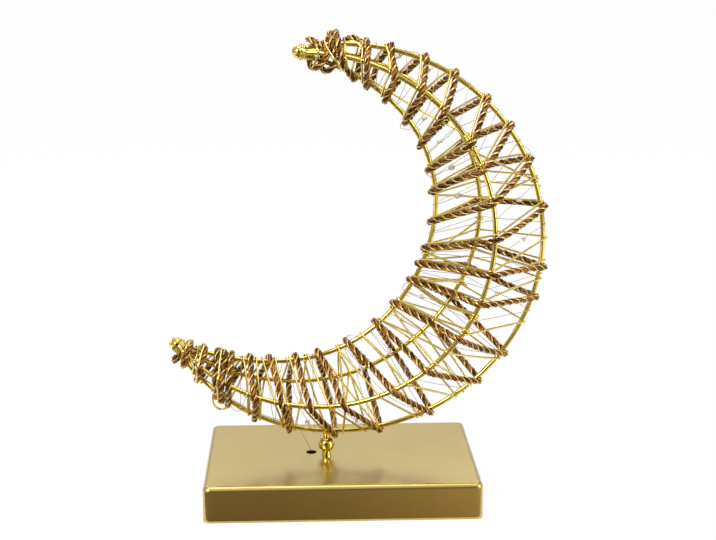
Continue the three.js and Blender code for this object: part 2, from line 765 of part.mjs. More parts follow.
// The path of a winding that hugs the outer side of each rail and runs straight between them.
function windingPath({ turns, firstTurn, lastTurn, diameter, arcPoints }) {
  const first = Math.round(firstTurn * 4);
  const last = Math.round(lastTurn * 4);
  const arcs = [];
  for (let n = first; n <= last; n += 1) {
    const here = crossingAt(n, turns);
    const arriving = here.at.clone().sub(crossingAt(n - 1, turns).at).normalize();
    const leaving = crossingAt(n + 1, turns).at.sub(here.at).normalize();
    const squared = (v) => v.clone().addScaledVector(here.along, -v.dot(here.along));
    const [flatIn, flatOut] = [squared(arriving), squared(leaving)];
    const bend = flatIn.angleTo(flatOut);
    const out = flatIn.clone().normalize().sub(flatOut.clone().normalize()).normalize();
    const aside = flatIn.clone().add(flatOut);
    aside.addScaledVector(out, -aside.dot(out)).normalize();
    const slopeIn = arriving.dot(here.along) / flatIn.length();
    const slopeOut = leaving.dot(here.along) / flatOut.length();
    const slope = (slopeIn + slopeOut) / 2;
    const reach = (railRadius + seatGap + diameter / 2) / Math.cos(bend / (2 * (arcPoints - 1)));
    const arc = [];
    for (let i = 0; i < arcPoints; i += 1) {
      const angle = bend * (i / (arcPoints - 1) - 0.5);
      arc.push(here.at.clone()
        .addScaledVector(out, reach * Math.cos(angle))
        .addScaledVector(aside, reach * Math.sin(angle))
        .addScaledVector(here.along, reach * slope * angle));
    }
    arcs.push(arc);
  }
  return arcs;
}

// Both ends run straight for one diameter beyond the last bend.
function withStraightEnds(points, diameter) {
  const last = points.length - 1;
  const before = points[0].clone().sub(points[1]).setLength(diameter);
  const after = points[last].clone().sub(points[last - 1]).setLength(diameter);
  return [points[0].clone().add(before), ...points, points[last].clone().add(after)];
}

// The least gap between stretches of one tube that lie apart along it, measured on points.
function leastSelfGap(points, diameter) {
  const samples = [];
  let run = 0;
  for (let i = 0; i + 1 < points.length; i += 1) {
    const length = points[i].distanceTo(points[i + 1]);
    const count = Math.ceil(length);
    for (let s = 0; s < count; s += 1) {
      samples.push({
        at: points[i].clone().lerp(points[i + 1], s / count),
        run: run + (length * s) / count,
      });
    }
    run += length;
  }
  const apart = 4 * diameter + 4 * railDiameter;
  let least = Infinity;
  for (let i = 0; i < samples.length; i += 1) {
    for (let j = i + 1; j < samples.length; j += 1) {
      if (samples[j].run - samples[i].run > apart) {
        least = Math.min(least, samples[i].at.distanceTo(samples[j].at));
      }
    }
  }
  return { gap: least - diameter, length: run };
}

function addWinding(name, points, diameter, sides, material) {
  addPiece(name, tubeAlong(points, diameter, sides), material);
  const { gap, length } = leastSelfGap(points, diameter);
  console.log(`${name}: least gap to itself ${gap.toFixed(2)} mm, length ${length.toFixed(0)} mm`);
}

const cordPath = windingPath({
  turns: cordTurns, firstTurn: cordFirstTurn, lastTurn: cordLastTurn,
  diameter: cordDiameter, arcPoints: cordArcPoints,
}).flat();
addWinding('wrap_cord', withStraightEnds(cordPath, cordDiameter), cordDiameter, cordSides, cordBrown);

const bindingPath = windingPath({
  turns: bindingTurns, firstTurn: bindingFirstTurn, lastTurn: lastLaneTurn,
  diameter: bindingWireDiameter, arcPoints: bindingArcPoints,
}).flat();
addWinding(
  'binding_wire', withStraightEnds(bindingPath, bindingWireDiameter), bindingWireDiameter, wireSides,
  wireGold,
);

// The thin wire comes up from the case through the tray, runs along the inner side of the outer rail
// to the lower tip, and winds back from there to the upper tip.
const inLane = (cord, binding) => binding.slice(1).map(
  (share, i) => cord[i] + (share - cord[i]) * ledLane,
);
const ledTurns = {
  outer: inLane(cordTurns.outer, bindingTurns.outer),
  inner: inLane(cordTurns.inner, bindingTurns.inner),
  frontShift: inLane(cordTurns.frontShift, bindingTurns.frontShift),
  backShift: inLane(cordTurns.backShift, bindingTurns.backShift),
};
const ledArcs = windingPath({
  turns: ledTurns, firstTurn: ledFirstTurn, lastTurn: lastLaneTurn,
  diameter: ledWireDiameter, arcPoints: ledArcPoints,
});
const railHug = railRadius + seatGap + ledWireDiameter / 2;

function insideRail(share, hug) {
  const at = rails[0].curve.getPoint(share);
  const inwards = rails[2].curve.getPoint(share).sub(at).setLength(hug);
  return at.add(inwards);
}

function leadPoints() {
  const boardEnd = new THREE.Vector3(switchBayLeft + boardWireReach, wireHoleY, cellWireZ);
  const rise = insideRail(leadRise, 2 * railHug);
  const points = [
    boardEnd,
    new THREE.Vector3(caseLeft, wireHoleY, cellWireZ),
    new THREE.Vector3(wireHoleX + holeBendRun, wireHoleY, cellWireZ),
    new THREE.Vector3(wireHoleX + 2 * holeBendRise, wireHoleY, cellWireZ + holeBendRise),
    new THREE.Vector3(wireHoleX, wireHoleY, trayUnderside),
    new THREE.Vector3(wireHoleX, wireHoleY, trayTop + wireHoleDiameter),
    new THREE.Vector3(rise.x, moonPlaneY + 2 * railHug, rise.z - railHug),
    rise,
  ];
  const lastShare = crossingAt(4 * lastLaneTurn, ledTurns).share - turnInShare;
  for (let share = leadRise + leadStep; share < lastShare; share += leadStep) {
    points.push(insideRail(share, railHug));
  }
  // Round the front of the rail into the first turn.
  const turnIn = insideRail(lastShare, railHug);
  turnIn.y -= railHug * turnInSweep;
  points.push(turnIn);
  return points;
}
const ledPath = [...leadPoints(), ...ledArcs.flat().reverse()];
addWinding('led_wire', ledPath, ledWireDiameter, wireSides, wireCopper);

// Each drop is cast round the middle of a straight stretch between two rails.
function dropGeometry() {
  const bore = ledWireDiameter / 2 + seatGap;
  const radius = dropDiameter / 2;
  const half = dropLength / 2;
  const shoulder = dropLength / 4;
  const profile = [
    [bore, -half], [radius, -shoulder], [radius, shoulder], [bore, half], [bore, -half],
  ].map(([r, y]) => new THREE.Vector2(r, y));
  return new THREE.LatheGeometry(profile, smallLathSides);
}

for (let i = 0; i < dropCount; i += 1) {
  const span = Math.round(firstDropSpan + i * spansPerDrop);
  const start = ledArcs[span][ledArcPoints - 1];
  const end = ledArcs[span + 1][0];
  const drop = addPiece(
    `light_drop_${String(i + 1).padStart(2, '0')}`, dropGeometry(), dropResin,
    start.clone().lerp(end, 0.5).toArray(),
  );
  drop.quaternion.setFromUnitVectors(
    new THREE.Vector3(0, 1, 0), end.clone().sub(start).normalize(),
  );
}

// The origin is under the middle of the whole object, on the surface that it stands on.
const extent = new THREE.Box3().setFromObject(assembly, true);
const middle = extent.getCenter(new THREE.Vector3());
assembly.position.set(-middle.x, -middle.y, -extent.min.z);

export default assembly;
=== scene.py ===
import math

import bmesh
import bpy
import numpy as np
from mathutils import Matrix, Vector


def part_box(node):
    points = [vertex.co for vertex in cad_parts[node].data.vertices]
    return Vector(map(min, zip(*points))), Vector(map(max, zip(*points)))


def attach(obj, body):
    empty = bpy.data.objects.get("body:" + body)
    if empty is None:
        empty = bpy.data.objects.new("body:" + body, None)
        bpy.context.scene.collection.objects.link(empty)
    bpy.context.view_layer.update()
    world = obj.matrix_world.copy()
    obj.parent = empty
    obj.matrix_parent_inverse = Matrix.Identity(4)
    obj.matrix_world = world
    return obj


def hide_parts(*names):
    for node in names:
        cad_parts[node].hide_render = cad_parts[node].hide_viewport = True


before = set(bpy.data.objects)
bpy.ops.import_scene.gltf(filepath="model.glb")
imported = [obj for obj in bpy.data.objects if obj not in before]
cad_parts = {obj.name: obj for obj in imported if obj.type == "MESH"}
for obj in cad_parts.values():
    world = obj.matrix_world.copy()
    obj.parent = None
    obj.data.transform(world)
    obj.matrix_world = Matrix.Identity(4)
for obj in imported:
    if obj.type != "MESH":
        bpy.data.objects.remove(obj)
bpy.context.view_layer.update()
print("frame loaded")

mm = 0.001


# camera, at the photograph's place: lengths in mm from the middle of the tray
camera = {"place": (-21.62, -760.92, 309.28), "tilt": 76.461, "turn": -2.361, "lens": 71.9}

trayLow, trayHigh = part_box("base_shell")
trayX = (trayLow.x + trayHigh.x) / 2 / mm

cameraData = bpy.data.cameras.new("camera")
cameraData.lens = camera["lens"]
cameraData.sensor_width = 36
cameraData.clip_start = 0.05
cameraObject = bpy.data.objects.new("camera", cameraData)
cameraObject.location = Vector((camera["place"][0] + trayX, camera["place"][1], camera["place"][2])) * mm
cameraObject.rotation_euler = (math.radians(camera["tilt"]), 0, math.radians(camera["turn"]))
bpy.context.scene.collection.objects.link(cameraObject)
bpy.context.scene.camera = cameraObject
print("camera set")


# the crescent's lines, in mm from the middle of the tray
crescent = {
    "centreX": -1.9, "planeY": -5.2, "standoff": 13.9,
    "outerRadius": 109.8, "outerOval": 2.3, "outerOvalAngle": 3.5,
    "width": 58.5, "setback": 25.2, "setbackAngle": 149, "innerOval": 4.4, "innerOvalAngle": 58.7,
    "upperTipAngle": 99.5, "upperTipInset": 5.9, "lowerTipAngle": -146, "lowerTipInset": 6,
    "tipBlend": 0.22, "middleShare": 0.484, "depthRatio": 1.1, "railRadius": 1.3, "gap": 0.3,
    "stemShare": 0.7861, "trayTop": 20,
}


def polar(centre, radius, angle):
    return np.array([centre[0] + radius * math.cos(angle), centre[1] + radius * math.sin(angle)])


ringCentre = np.array([crescent["centreX"], 0.0])
bayCentre = polar(ringCentre, crescent["setback"], math.radians(crescent["setbackAngle"]))
innerRadius = crescent["outerRadius"] - crescent["width"] + crescent["setback"]
upperTip = polar(ringCentre, crescent["outerRadius"] - crescent["upperTipInset"],
                 math.radians(crescent["upperTipAngle"]))
lowerTip = polar(ringCentre, crescent["outerRadius"] - crescent["lowerTipInset"],
                 math.radians(crescent["lowerTipAngle"]))
bundle = (2 * crescent["railRadius"] + crescent["gap"]) / math.sqrt(2)
upperAcross = (upperTip - bayCentre) / np.linalg.norm(upperTip - bayCentre) * bundle
lowerAcross = (lowerTip - bayCentre) / np.linalg.norm(lowerTip - bayCentre) * bundle


# a slightly oval arc, drawn in at both ends so that it runs from start to end
def ringArc(centre, radius, oval, ovalAngle, start, end):
    first = math.atan2(start[1] - centre[1], start[0] - centre[0])
    last = math.atan2(end[1] - centre[1], end[0] - centre[0])
    last = last - 2 * math.pi if last > 0 else last

    def bare(share):
        angle = first + (last - first) * share
        return polar(centre, radius + oval * math.cos(2 * (angle - math.radians(ovalAngle))), angle)

    startMiss, endMiss = start - bare(0), end - bare(1)

    def at(share):
        startPull = max(0, 1 - share / crescent["tipBlend"]) ** 2
        endPull = max(0, 1 - (1 - share) / crescent["tipBlend"]) ** 2
        return bare(share) + startMiss * startPull + endMiss * endPull

    return at


outerArc = ringArc(ringCentre, crescent["outerRadius"], crescent["outerOval"], crescent["outerOvalAngle"],
                   upperTip + upperAcross, lowerTip + lowerAcross)
innerArc = ringArc(bayCentre, innerRadius, crescent["innerOval"], crescent["innerOvalAngle"],
                   upperTip - upperAcross, lowerTip - lowerAcross)
centreZ = crescent["trayTop"] + crescent["standoff"] + crescent["railRadius"] - outerArc(crescent["stemShare"])[1]


# a point of the flat drawing at its place in space
def upright(point, depth):
    return np.array([point[0] + trayX, crescent["planeY"] + depth, centreZ + point[1]])


def middleRail(share, side):
    outer, inner = outerArc(share), innerArc(share)
    halfDepth = crescent["depthRatio"] * np.linalg.norm(outer - inner) / 2
    return upright(inner + (outer - inner) * crescent["middleShare"], side * halfDepth)


# outer, front, inner and back rail, in the order in which a winding meets them
railAt = [
    lambda share: upright(outerArc(share), 0),
    lambda share: middleRail(share, -1),
    lambda share: upright(innerArc(share), 0),
    lambda share: middleRail(share, 1),
]


def unit(vector):
    return vector / np.linalg.norm(vector)


# points at one spacing along a line of points
def evenly(points, step):
    points = np.array(points)
    run = np.concatenate([[0], np.cumsum(np.linalg.norm(np.diff(points, axis=0), axis=1))])
    places = np.linspace(0, run[-1], max(2, int(round(run[-1] / step))))
    return np.stack([np.interp(places, run, points[:, axis]) for axis in range(3)], axis=1)


# the same line with its corners eased
def softened(points, times):
    for _ in range(times):
        points[1:-1] = points[1:-1] * 0.5 + (points[:-2] + points[2:]) * 0.25
    return points


# round wires along lines of points in mm, as one curve object
def wires(name, lines, radius, sides, material, body="root"):
    curve = bpy.data.curves.new(name, "CURVE")
    curve.dimensions = "3D"
    curve.bevel_depth = radius * mm
    curve.bevel_resolution = sides // 2 - 2
    curve.use_fill_caps = True
    for line in lines:
        spline = curve.splines.new("POLY")
        spline.points.add(len(line) - 1)
        spline.points.foreach_set("co", np.c_[np.array(line) * mm, np.ones(len(line))].ravel())
        thickness = np.ones(len(line))
        thickness[[0, -1]] = 0.3  # cut ends are nipped thin
        spline.points.foreach_set("radius", thickness)
    curve.materials.append(material)
    piece = bpy.data.objects.new(name, curve)
    bpy.context.scene.collection.objects.link(piece)
    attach(piece, body)
    return piece


def pieceFrom(shape, name, material, sharpAngle=40, body="root"):
    mesh = bpy.data.meshes.new(name)
    shape.to_mesh(mesh)
    shape.free()
    mesh.shade_smooth()
    mesh.set_sharp_from_angle(angle=math.radians(sharpAngle))
    mesh.materials.append(material)
    piece = bpy.data.objects.new(name, mesh)
    bpy.context.scene.collection.objects.link(piece)
    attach(piece, body)
    return piece


# materials
def newMaterial(name):
    material = bpy.data.materials.new(name)
    material.use_nodes = True
    nodes = material.node_tree.nodes
    return material, nodes, material.node_tree.links, nodes["Principled BSDF"]


def addNoise(nodes, links, scale, detail=3, stretch=(1, 1, 1)):
    coordinates = nodes.new("ShaderNodeTexCoord")
    mapping = nodes.new("ShaderNodeMapping")
    mapping.inputs["Scale"].default_value = stretch
    noise = nodes.new("ShaderNodeTexNoise")
    noise.inputs["Scale"].default_value = scale
    noise.inputs["Detail"].default_value = detail
    links.new(coordinates.outputs["Object"], mapping.inputs["Vector"])
    links.new(mapping.outputs["Vector"], noise.inputs["Vector"])
    return noise


def addRamp(nodes, links, source, stops):
    ramp = nodes.new("ShaderNodeValToRGB")
    ramp.color_ramp.elements[0].position, ramp.color_ramp.elements[0].color = stops[0][0], (*stops[0][1], 1)
    ramp.color_ramp.elements[1].position, ramp.color_ramp.elements[1].color = stops[-1][0], (*stops[-1][1], 1)
    for place, colour in stops[1:-1]:
        ramp.color_ramp.elements.new(place).color = (*colour, 1)
    links.new(source, ramp.inputs["Fac"])
    return ramp


def addRange(nodes, links, source, low, high):
    span = nodes.new("ShaderNodeMapRange")
    span.inputs["To Min"].default_value = low
    span.inputs["To Max"].default_value = high
    links.new(source, span.inputs["Value"])
    return span


def addBump(nodes, links, source, shader, strength, distance):
    bump = nodes.new("ShaderNodeBump")
    bump.inputs["Strength"].default_value = strength
    bump.inputs["Distance"].default_value = distance
    links.new(source, bump.inputs["Height"])
    links.new(bump.outputs["Normal"], shader.inputs["Normal"])


# a metal with slow tarnish in its colour and fine grain in its gloss
def metal(name, light, dark, roughness, roughnessSpread, grainScale, bumpStrength, patchScale=60):
    material, nodes, links, shader = newMaterial(name)
    shader.inputs["Metallic"].default_value = 1
    patches = addNoise(nodes, links, patchScale, 4)
    tone = addRamp(nodes, links, patches.outputs["Fac"], [(0.3, dark), (0.7, light)])
    links.new(tone.outputs["Color"], shader.inputs["Base Color"])
    grain = addNoise(nodes, links, grainScale, 2)
    gloss = addRange(nodes, links, grain.outputs["Fac"], roughness - roughnessSpread, roughness + roughnessSpread)
    links.new(gloss.outputs["Result"], shader.inputs["Roughness"])
    addBump(nodes, links, grain.outputs["Fac"], shader, bumpStrength, 0.0001)
    return material


# a moulded or coated plain surface with a fine speckle
def moulded(name, light, dark, roughness, grainScale, bumpStrength):
    material, nodes, links, shader = newMaterial(name)
    grain = addNoise(nodes, links, grainScale, 3)
    tone = addRamp(nodes, links, grain.outputs["Fac"], [(0.35, dark), (0.65, light)])
    links.new(tone.outputs["Color"], shader.inputs["Base Color"])
    shader.inputs["Roughness"].default_value = roughness
    addBump(nodes, links, grain.outputs["Fac"], shader, bumpStrength, 0.0001)
    return material


finishes = {
    "trayGold": {"light": (0.59, 0.438, 0.115), "dark": (0.53, 0.39, 0.096), "roughness": 0.31, "spread": 0.04},
    "railGold": {"light": (0.76, 0.60, 0.145), "dark": (0.64, 0.485, 0.075), "roughness": 0.1, "spread": 0.03},
    "wireGold": {"light": (0.84, 0.69, 0.235), "dark": (0.71, 0.55, 0.13), "roughness": 0.13, "spread": 0.04},
    "strandGold": {"light": (0.80, 0.62, 0.25), "dark": (0.53, 0.37, 0.11), "roughness": 0.32, "spread": 0.08},
    "copper": {"light": (0.62, 0.44, 0.36), "dark": (0.46, 0.30, 0.24), "roughness": 0.3, "spread": 0.05},
    "steel": {"light": (0.66, 0.66, 0.67), "dark": (0.55, 0.55, 0.56), "roughness": 0.3, "spread": 0.06},
}


def finish(name, grainScale, bumpStrength, patchScale=60):
    look = finishes[name]
    return metal(name, look["light"], look["dark"], look["roughness"], look["spread"], grainScale,
                 bumpStrength, patchScale)


trayGold = finish("trayGold", 2600, 0.12, 25)
trayShader = trayGold.node_tree.nodes["Principled BSDF"]
trayShader.inputs["Coat Weight"].default_value = 0.8
trayShader.inputs["Coat Roughness"].default_value = 0.22
railGold = finish("railGold", 900, 0.05)
wireGold = finish("wireGold", 900, 0.08)
strandGold = finish("strandGold", 1500, 0.15, 200)
copper = finish("copper", 900, 0.05)
steelPlate = finish("steel", 1200, 0.08)
caseWhite = moulded("caseWhite", (0.80, 0.79, 0.75), (0.76, 0.75, 0.71), 0.5, 1800, 0.1)
knobBlack = moulded("knobBlack", (0.030, 0.030, 0.033), (0.018, 0.018, 0.020), 0.45, 2200, 0.15)
cellGreen = moulded("cellGreen", (0.045, 0.19, 0.095), (0.035, 0.16, 0.08), 0.35, 400, 0.03)
boardGreen = moulded("boardGreen", (0.03, 0.16, 0.07), (0.02, 0.12, 0.05), 0.45, 900, 0.05)
tapeGrey = moulded("tapeGrey", (0.62, 0.62, 0.59), (0.52, 0.52, 0.50), 0.9, 1500, 0.5)


# brown yarn: fine twisted hairs with a coppery sheen
def yarn(name, light, middle, dark):
    material, nodes, links, shader = newMaterial(name)
    flecks = addNoise(nodes, links, 420, 4)
    tone = addRamp(nodes, links, flecks.outputs["Fac"], [(0.32, dark), (0.5, middle), (0.68, light)])
    links.new(tone.outputs["Color"], shader.inputs["Base Color"])
    shader.inputs["Roughness"].default_value = 0.38
    shader.inputs["Metallic"].default_value = 0.95
    hairs = addNoise(nodes, links, 3200, 2)
    addBump(nodes, links, hairs.outputs["Fac"], shader, 0.5, 0.0001)
    return material


# three copies of the one yarn that differ only in tone: the copper one is a lighter copy, a painted highlight
# standing in for the coppery sheen
cordBrown = yarn("cordBrown", (0.42, 0.185, 0.038), (0.225, 0.092, 0.016), (0.085, 0.031, 0.005))
cordPaintedSheen = yarn("cordPaintedSheen", (0.72, 0.35, 0.105), (0.49, 0.215, 0.052), (0.21, 0.083, 0.016))
# the dark one is a darker copy, painted shade for one yarn in each ply and for the core where it shows between the
# plies
cordPaintedShade = yarn("cordPaintedShade", (0.145, 0.055, 0.010), (0.074, 0.027, 0.004), (0.030, 0.011, 0.002))


# clear warm resin over a small chip
def resin(name):
    material, nodes, links, shader = newMaterial(name)
    cloud = addNoise(nodes, links, 900, 2)
    tone = addRamp(nodes, links, cloud.outputs["Fac"], [(0.3, (0.97, 0.92, 0.78)), (0.7, (1.0, 0.97, 0.88))])
    links.new(tone.outputs["Color"], shader.inputs["Base Color"])
    shader.inputs["Roughness"].default_value = 0.08
    shader.inputs["Transmission Weight"].default_value = 0.88
    shader.inputs["IOR"].default_value = 1.5
    return material


dropResin = resin("dropResin")
print("materials made")


# rails
rails = {"points": 260, "sides": 24}
railNames = ["outer_rail", "front_rail", "inner_rail", "back_rail"]
for railName, placeAt in zip(railNames, railAt):
    line = [placeAt(share) for share in np.linspace(0, 1, rails["points"])]
    rail = wires(railName + "_bar", [line], crescent["railRadius"], rails["sides"], railGold)
    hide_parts(railName)
print("rails made")


# a turned piece about Z, from (radius, height) pairs in mm
def turned(profile, steps):
    shape = bmesh.new()
    corners = [shape.verts.new((radius * mm, 0, height * mm)) for radius, height in profile]
    edges = [shape.edges.new(pair) for pair in zip(corners, corners[1:])]
    bmesh.ops.spin(shape, geom=corners + edges, cent=(0, 0, 0), axis=(0, 0, 1), angle=2 * math.pi,
                   steps=steps, use_merge=True)
    bmesh.ops.remove_doubles(shape, verts=shape.verts, dist=1e-6)
    bmesh.ops.recalc_face_normals(shape, faces=shape.faces)
    return shape


# tip balls, each with gold wire wound on where the four rails run in; the lower one has two rings more
tipBall = {"radius": 3.7, "windRadius": 3.55, "windWire": 0.5, "windTurns": 3, "windStep": 0.95, "windStart": 3.3,
           "ringLeans": (0.6, 2.4), "ringTilt": 0.25, "ringBack": 0.4}
for nodeName, share, outwards in (("upper_tip_ball", 0.0, -1), ("lower_tip_ball", 1.0, 1)):
    ends = [placeAt(share) for placeAt in railAt]
    nearby = [placeAt(share - outwards * 0.004) for placeAt in railAt]
    along = unit(np.mean(ends, axis=0) - np.mean(nearby, axis=0))
    centre = np.mean(ends, axis=0) + along * (tipBall["radius"] - crescent["railRadius"])
    radius = tipBall["radius"]
    ballProfile = [(radius * math.sin(math.pi * i / 20), -radius * math.cos(math.pi * i / 20)) for i in range(21)]
    shape = turned(ballProfile, 36)
    facing = Vector(along).to_track_quat("Z", "Y").to_matrix().to_4x4()
    bmesh.ops.transform(shape, verts=shape.verts, matrix=Matrix.Translation(Vector(centre * mm)) @ facing)
    ball = pieceFrom(shape, nodeName + "_cap", railGold)
    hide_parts(nodeName)
    across = unit(np.cross(along, (0, 1, 0)))
    aside = np.cross(along, across)
    wind = []
    for part in np.linspace(0, 1, 30 * tipBall["windTurns"]):
        angle = part * tipBall["windTurns"] * 2 * math.pi
        reach = tipBall["windRadius"] + tipBall["windWire"] + 0.25 * math.sin(angle * 1.7)
        back = tipBall["windStart"] - part * tipBall["windTurns"] * tipBall["windStep"]
        wind.append(centre - along * back + (across * math.cos(angle) + aside * math.sin(angle)) * reach)
    winds = [wind]
    if outwards == 1:
        ringRadius = tipBall["radius"] + tipBall["windWire"]
        for lean in tipBall["ringLeans"]:
            ringAxis = unit(across * math.cos(lean) + aside * math.sin(lean) + along * tipBall["ringTilt"])
            first = unit(np.cross(ringAxis, along))
            second = np.cross(ringAxis, first)
            winds.append([centre + (first * math.cos(a) + second * math.sin(a)) * ringRadius
                          - along * tipBall["ringBack"] for a in np.linspace(0, 2.1 * math.pi, 50)])
    wires(nodeName + "_wind", winds, tipBall["windWire"], 8, wireGold)
print("tip balls made")


# stem: a turned ball with a narrow foot, a neck that flares under the rail, and a stud below the tray
stem = {"ballRadius": 4.5, "ballHeight": 7.2, "foot": 2.3, "neck": 1.75, "stud": 1.5, "studEnd": 14.3, "flare": 2.1}
stemPoint = railAt[0](crescent["stemShare"])
ballMiddle = crescent["trayTop"] + stem["ballHeight"]
profile = [(0, stem["studEnd"]), (stem["stud"] - 0.3, stem["studEnd"]), (stem["stud"], stem["studEnd"] + 0.3),
           (stem["stud"], crescent["trayTop"]), (stem["foot"] + 0.5, crescent["trayTop"] + 0.05),
           (stem["foot"] + 0.35, crescent["trayTop"] + 0.6), (stem["foot"], crescent["trayTop"] + 1.4)]
lowAngle = -math.acos(stem["foot"] / stem["ballRadius"])
highAngle = math.acos(stem["neck"] / stem["ballRadius"])
for i in range(19):
    angle = lowAngle + (highAngle - lowAngle) * i / 18
    profile.append((stem["ballRadius"] * math.cos(angle), ballMiddle + stem["ballRadius"] * math.sin(angle)))
profile += [(stem["neck"], stemPoint[2] - 2.2), (stem["neck"] + 0.1, stemPoint[2] - 1.5),
            (stem["flare"], stemPoint[2] - 0.7), (stem["flare"] - 0.3, stemPoint[2] + 0.1), (0, stemPoint[2] + 0.4)]
shape = turned(profile, 48)
bmesh.ops.translate(shape, verts=shape.verts, vec=Vector((stemPoint[0], stemPoint[1], 0)) * mm)
stemPiece = pieceFrom(shape, "stem_turned", railGold, 50)
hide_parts("stem")
print("stem made")


# tray: pressed sheet with rounded upright corners and a rounded top edge, open underneath
tray = {"width": 150, "depth": 100, "height": 20, "wall": 1.2, "corner": 4, "edge": 3,
        "wireHole": 6, "holeBeside": 8.4, "holeBehind": 6.6, "stemHole": 3.4}
wireHole = np.array([stemPoint[0] - tray["holeBeside"], stemPoint[1] + tray["holeBehind"]])


def trayBlock(width, depth, top, corner, edge):
    shape = bmesh.new()
    bmesh.ops.create_cube(shape, size=1)
    bmesh.ops.scale(shape, vec=(width * mm, depth * mm, top * mm), verts=shape.verts)
    bmesh.ops.translate(shape, vec=(trayX * mm, 0, top / 2 * mm), verts=shape.verts)
    uprights = [e for e in shape.edges if abs(e.verts[0].co.z - e.verts[1].co.z) > mm]
    bmesh.ops.bevel(shape, geom=uprights, offset=corner * mm, segments=10, profile=0.5, affect="EDGES", material=-1)
    rim = [e for e in shape.edges if all(v.co.z > (top - 0.01) * mm for v in e.verts)]
    bmesh.ops.bevel(shape, geom=rim, offset=edge * mm, segments=8, profile=0.5, affect="EDGES", material=-1,
                    clamp_overlap=False)
    return shape


shape = trayBlock(tray["width"], tray["depth"], tray["height"], tray["corner"], tray["edge"])
floorFaces = [f for f in shape.faces if all(v.co.z < 1e-6 for v in f.verts)]
bmesh.ops.delete(shape, geom=floorFaces, context="FACES_ONLY")
bmesh.ops.remove_doubles(shape, verts=shape.verts, dist=1e-7)
bmesh.ops.recalc_face_normals(shape, faces=shape.faces)
if sum(f.normal.z * f.calc_area() for f in shape.faces) < 0:
    bmesh.ops.reverse_faces(shape, faces=shape.faces)
traySheet = pieceFrom(shape, "tray", trayGold, 60)
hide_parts("base_shell")
wallModifier = traySheet.modifiers.new("wall", "SOLIDIFY")
wallModifier.thickness = tray["wall"] * mm
wallModifier.offset = -1
wallModifier.use_rim = True


def holeCutter(name, x, y, diameter):
    cutter = bmesh.new()
    bmesh.ops.create_cone(cutter, cap_ends=True, segments=40, radius1=diameter / 2 * mm, radius2=diameter / 2 * mm,
                          depth=20 * mm, matrix=Matrix.Translation(Vector((x, y, tray["height"])) * mm))
    mesh = bpy.data.meshes.new(name)
    cutter.to_mesh(mesh)
    cutter.free()
    piece = bpy.data.objects.new(name, mesh)
    bpy.context.scene.collection.objects.link(piece)
    return piece


cutters = [
    holeCutter("wireHoleCutter", wireHole[0], wireHole[1], tray["wireHole"]),
    holeCutter("stemHoleCutter", stemPoint[0], stemPoint[1], tray["stemHole"]),
]
for cutter in cutters:
    cut = traySheet.modifiers.new("hole", "BOOLEAN")
    cut.operation = "DIFFERENCE"
    cut.solver = "EXACT"
    cut.object = cutter
finished = bpy.data.meshes.new_from_object(traySheet.evaluated_get(bpy.context.evaluated_depsgraph_get()))
traySheet.modifiers.clear()
traySheet.data = finished
for cutter in cutters:
    bpy.data.objects.remove(cutter)
weights = traySheet.modifiers.new("weights", "WEIGHTED_NORMAL")
weights.keep_sharp = True
print("tray made")


# where each hand-wound turn crosses the outer and the inner rail, as shares of the rail from the upper tip,
# and how far off the middle of these two it crosses the front and the back rail
cordTurns = {
    "outer": [0.0075, 0.036, 0.0715, 0.1, 0.141, 0.179, 0.225, 0.2655, 0.3095, 0.3655, 0.435, 0.4705,
              0.545, 0.589, 0.657, 0.721, 0.775, 0.8305, 0.8745, 0.919, 0.958, 0.981, 0.993],
    "inner": [0.0455, 0.0935, 0.118, 0.1565, 0.2085, 0.259, 0.3055, 0.3465, 0.406, 0.4595, 0.493, 0.53,
              0.5885, 0.6415, 0.711, 0.769, 0.8105, 0.8565, 0.888, 0.93, 0.964, 0.988],
    "frontShift": [0, 0, -0.006, 0, -0.005, -0.0095, 0, -0.003, -0.0085, -0.013, -0.0155, -0.009,
                   -0.017, 0, -0.0105, 0.003, 0.003, -0.007, -0.005, 0, 0, 0],
    "backShift": [0, 0, 0, 0, 0, 0, 0, 0, -0.006, -0.003, 0, 0,
                  -0.003, 0.01, -0.004, 0.003, 0.007, 0.006, 0, 0, 0, 0],
}
bindingTurns = {
    "outer": [0, 0.0275, 0.063, 0.0915, 0.132, 0.1705, 0.2165, 0.257, 0.301, 0.357, 0.401, 0.4485,
              0.502, 0.554, 0.622, 0.674, 0.738, 0.8215, 0.8655, 0.9105, 0.9495, 0.9725],
    "inner": [0.032, 0.08, 0.1055, 0.1435, 0.195, 0.246, 0.2925, 0.333, 0.393, 0.446, 0.48, 0.5165,
              0.575, 0.628, 0.6785, 0.732, 0.789, 0.843, 0.875, 0.917, 0.952, 0.9765],
    "frontShift": [0, 0, -0.006, 0, -0.005, -0.0095, 0, -0.003, -0.0085, -0.013, 0, 0,
                   0, -0.018, 0, -0.009, 0.005, -0.007, -0.005, 0, 0, 0],
    "backShift": [0, 0, 0, 0, 0, 0, 0, 0, -0.006, -0.003, 0, 0,
                  0, 0, 0, 0, 0, 0.006, 0, 0, 0, 0],
}
# the light wire keeps to a lane a little past the middle between a turn of cord and the next of binding wire
lightLane = 0.55
lightTurns = {}
for row in ("outer", "inner", "frontShift", "backShift"):
    lane = zip(cordTurns[row], bindingTurns[row][1:])
    lightTurns[row] = [cordShare + (wireShare - cordShare) * lightLane for cordShare, wireShare in lane]
# where the binding wire passes near a turn of cord it lies against it
hugShare = {"outer": 0.0062, "inner": 0.0095}
nearShare = 0.016
for rail, share in hugShare.items():
    for i, cordShare in enumerate(cordTurns[rail][:len(bindingTurns[rail])]):
        if cordShare - bindingTurns[rail][i] < nearShare:
            bindingTurns[rail][i] = cordShare - share


noShift = [0] * len(cordTurns["outer"])


